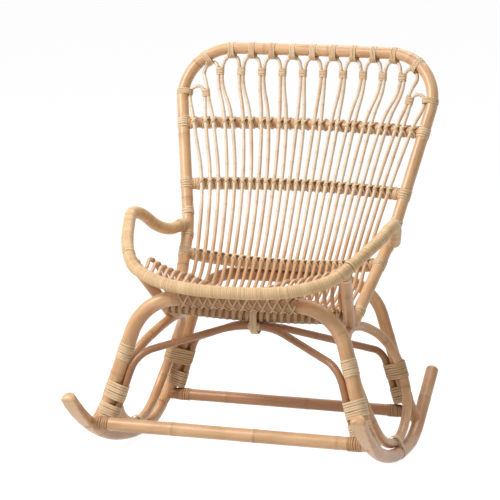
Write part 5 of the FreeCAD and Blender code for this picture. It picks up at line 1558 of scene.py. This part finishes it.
class CHAIR_OT_stage(bpy.types.Operator):
    """Makes the floor, the soft lights and the camera at the photograph's angle"""
    bl_idname = "chair.stage"
    bl_label = "Stage"

    def execute(self, context):
        scene = context.scene
        self.floor(scene)
        self.world(scene)
        for name, (place, size, power) in LAMPS.items():
            self.lamp(scene, name, place, size, power)
        self.camera(scene)
        scene.view_settings.view_transform = "Standard"
        return {"FINISHED"}

    def floor(self, scene):
        """A wide plane of four corners at floor level that keeps a soft shadow."""
        mesh = bpy.data.meshes.new("floor")
        corners = [(x * FLOOR_REACH, y * FLOOR_REACH, 0) for x, y in ((-1, -1), (1, -1), (1, 1), (-1, 1))]
        mesh.from_pydata(corners, [], [(0, 1, 2, 3)])
        finish = Finish("floor")
        finish.shader.inputs["Base Color"].default_value = rgba(scene.chair_colours.floor)
        finish.shader.inputs["Roughness"].default_value = 0.9
        finish.shader.inputs["Specular IOR Level"].default_value = 0.0
        light_path = finish.add("ShaderNodeLightPath")
        glow = finish.add("ShaderNodeEmission", {"Color": WHITE, "Strength": FLOOR_GLOW})
        seen = finish.math("ADD", light_path.outputs["Is Camera Ray"], light_path.outputs["Is Glossy Ray"])
        seen = finish.math("ADD", seen, light_path.outputs["Is Transmission Ray"])
        part = finish.math("MULTIPLY", seen, FLOOR_GLOW_SHARE)
        blend = finish.add("ShaderNodeMixShader", {0: part, 1: finish.shader.outputs[0], 2: glow.outputs[0]})
        output = finish.tree.nodes["Material Output"]
        finish.tree.links.new(blend.outputs[0], output.inputs["Surface"])
        mesh.materials.append(finish.material)
        plane = bpy.data.objects.new("floor", mesh)
        scene.collection.objects.link(plane)

    def world(self, scene):
        """Even light, seen by the camera and in reflections as plain white."""
        world = bpy.data.worlds.new("studio")
        scene.world = world
        world.use_nodes = True
        tree = world.node_tree
        light = tree.nodes["Background"]
        light.inputs["Color"].default_value = WORLD_COLOUR
        light.inputs["Strength"].default_value = WORLD_STRENGTH
        seen = tree.nodes.new("ShaderNodeBackground")
        seen.inputs["Color"].default_value = WHITE
        path = tree.nodes.new("ShaderNodeLightPath")
        blend = tree.nodes.new("ShaderNodeMixShader")
        part = path.outputs["Is Camera Ray"]
        for ray in ("Is Transmission Ray", "Is Glossy Ray"):
            either = tree.nodes.new("ShaderNodeMath")
            either.operation = "MAXIMUM"
            tree.links.new(part, either.inputs[0])
            tree.links.new(path.outputs[ray], either.inputs[1])
            part = either.outputs[0]
        tree.links.new(part, blend.inputs[0])
        tree.links.new(light.outputs[0], blend.inputs[1])
        tree.links.new(seen.outputs[0], blend.inputs[2])
        tree.links.new(blend.outputs[0], tree.nodes["World Output"].inputs["Surface"])

    def lamp(self, scene, name, place, size, power):
        """A square soft light that points at the seat."""
        data = bpy.data.lights.new(name, "AREA")
        data.size = size
        data.energy = power
        lamp = bpy.data.objects.new(name, data)
        lamp.location = place
        lamp.rotation_euler = (Vector(LAMP_AIM) - Vector(place)).to_track_quat("-Z", "Y").to_euler()
        scene.collection.objects.link(lamp)

    def camera(self, scene):
        """A long lens six metres away, nineteen degrees to the right of the front and ten degrees up."""
        data = bpy.data.cameras.new("camera")
        data.sensor_width = CAMERA_SENSOR
        data.lens = CAMERA_LENS
        camera = bpy.data.objects.new("camera", data)
        away = Vector(CAMERA_AWAY)
        camera.location = Vector(CAMERA_TARGET) + away
        camera.rotation_euler = (-away).to_track_quat("-Z", "Y").to_euler()
        scene.collection.objects.link(camera)
        scene.camera = camera


OPERATORS = (
    CHAIR_OT_runners, CHAIR_OT_legs, CHAIR_OT_side_loops, CHAIR_OT_back, CHAIR_OT_seat_poles, CHAIR_OT_rods,
    CHAIR_OT_wound_hoop, CHAIR_OT_bindings, CHAIR_OT_ties, CHAIR_OT_lashings, CHAIR_OT_lacing, CHAIR_OT_stage)


class CHAIR_PT_panel(bpy.types.Panel):
    """Lists the chair's operators, sizes and colours"""
    bl_idname = "CHAIR_PT_panel"
    bl_label = "Rattan rocking chair"
    bl_space_type = "VIEW_3D"
    bl_region_type = "UI"
    bl_category = "Chair"

    def draw(self, context):
        for operator in OPERATORS:
            self.layout.operator(operator.bl_idname)
        for group in (context.scene.chair_colours, context.scene.chair_cane, context.scene.chair_sizes):
            for name in group.bl_rna.properties.keys():
                if name not in ("rna_type", "name"):
                    self.layout.prop(group, name)


GROUPS = {"chair_sizes": ChairSizes, "chair_cane": CaneSizes, "chair_colours": ChairColours}


def register():
    for kind in (*GROUPS.values(), *OPERATORS, CHAIR_PT_panel):
        bpy.utils.register_class(kind)
    for name, group in GROUPS.items():
        setattr(bpy.types.Scene, name, bpy.props.PointerProperty(type=group))


def unregister():
    for name in GROUPS:
        delattr(bpy.types.Scene, name)
    for kind in (CHAIR_PT_panel, *OPERATORS[::-1], *list(GROUPS.values())[::-1]):
        bpy.utils.unregister_class(kind)


def main():
    register()
    for operator in OPERATORS:
        family, name = operator.bl_idname.split(".")
        getattr(getattr(bpy.ops, family), name)()


if __name__ == "__main__":
    main()
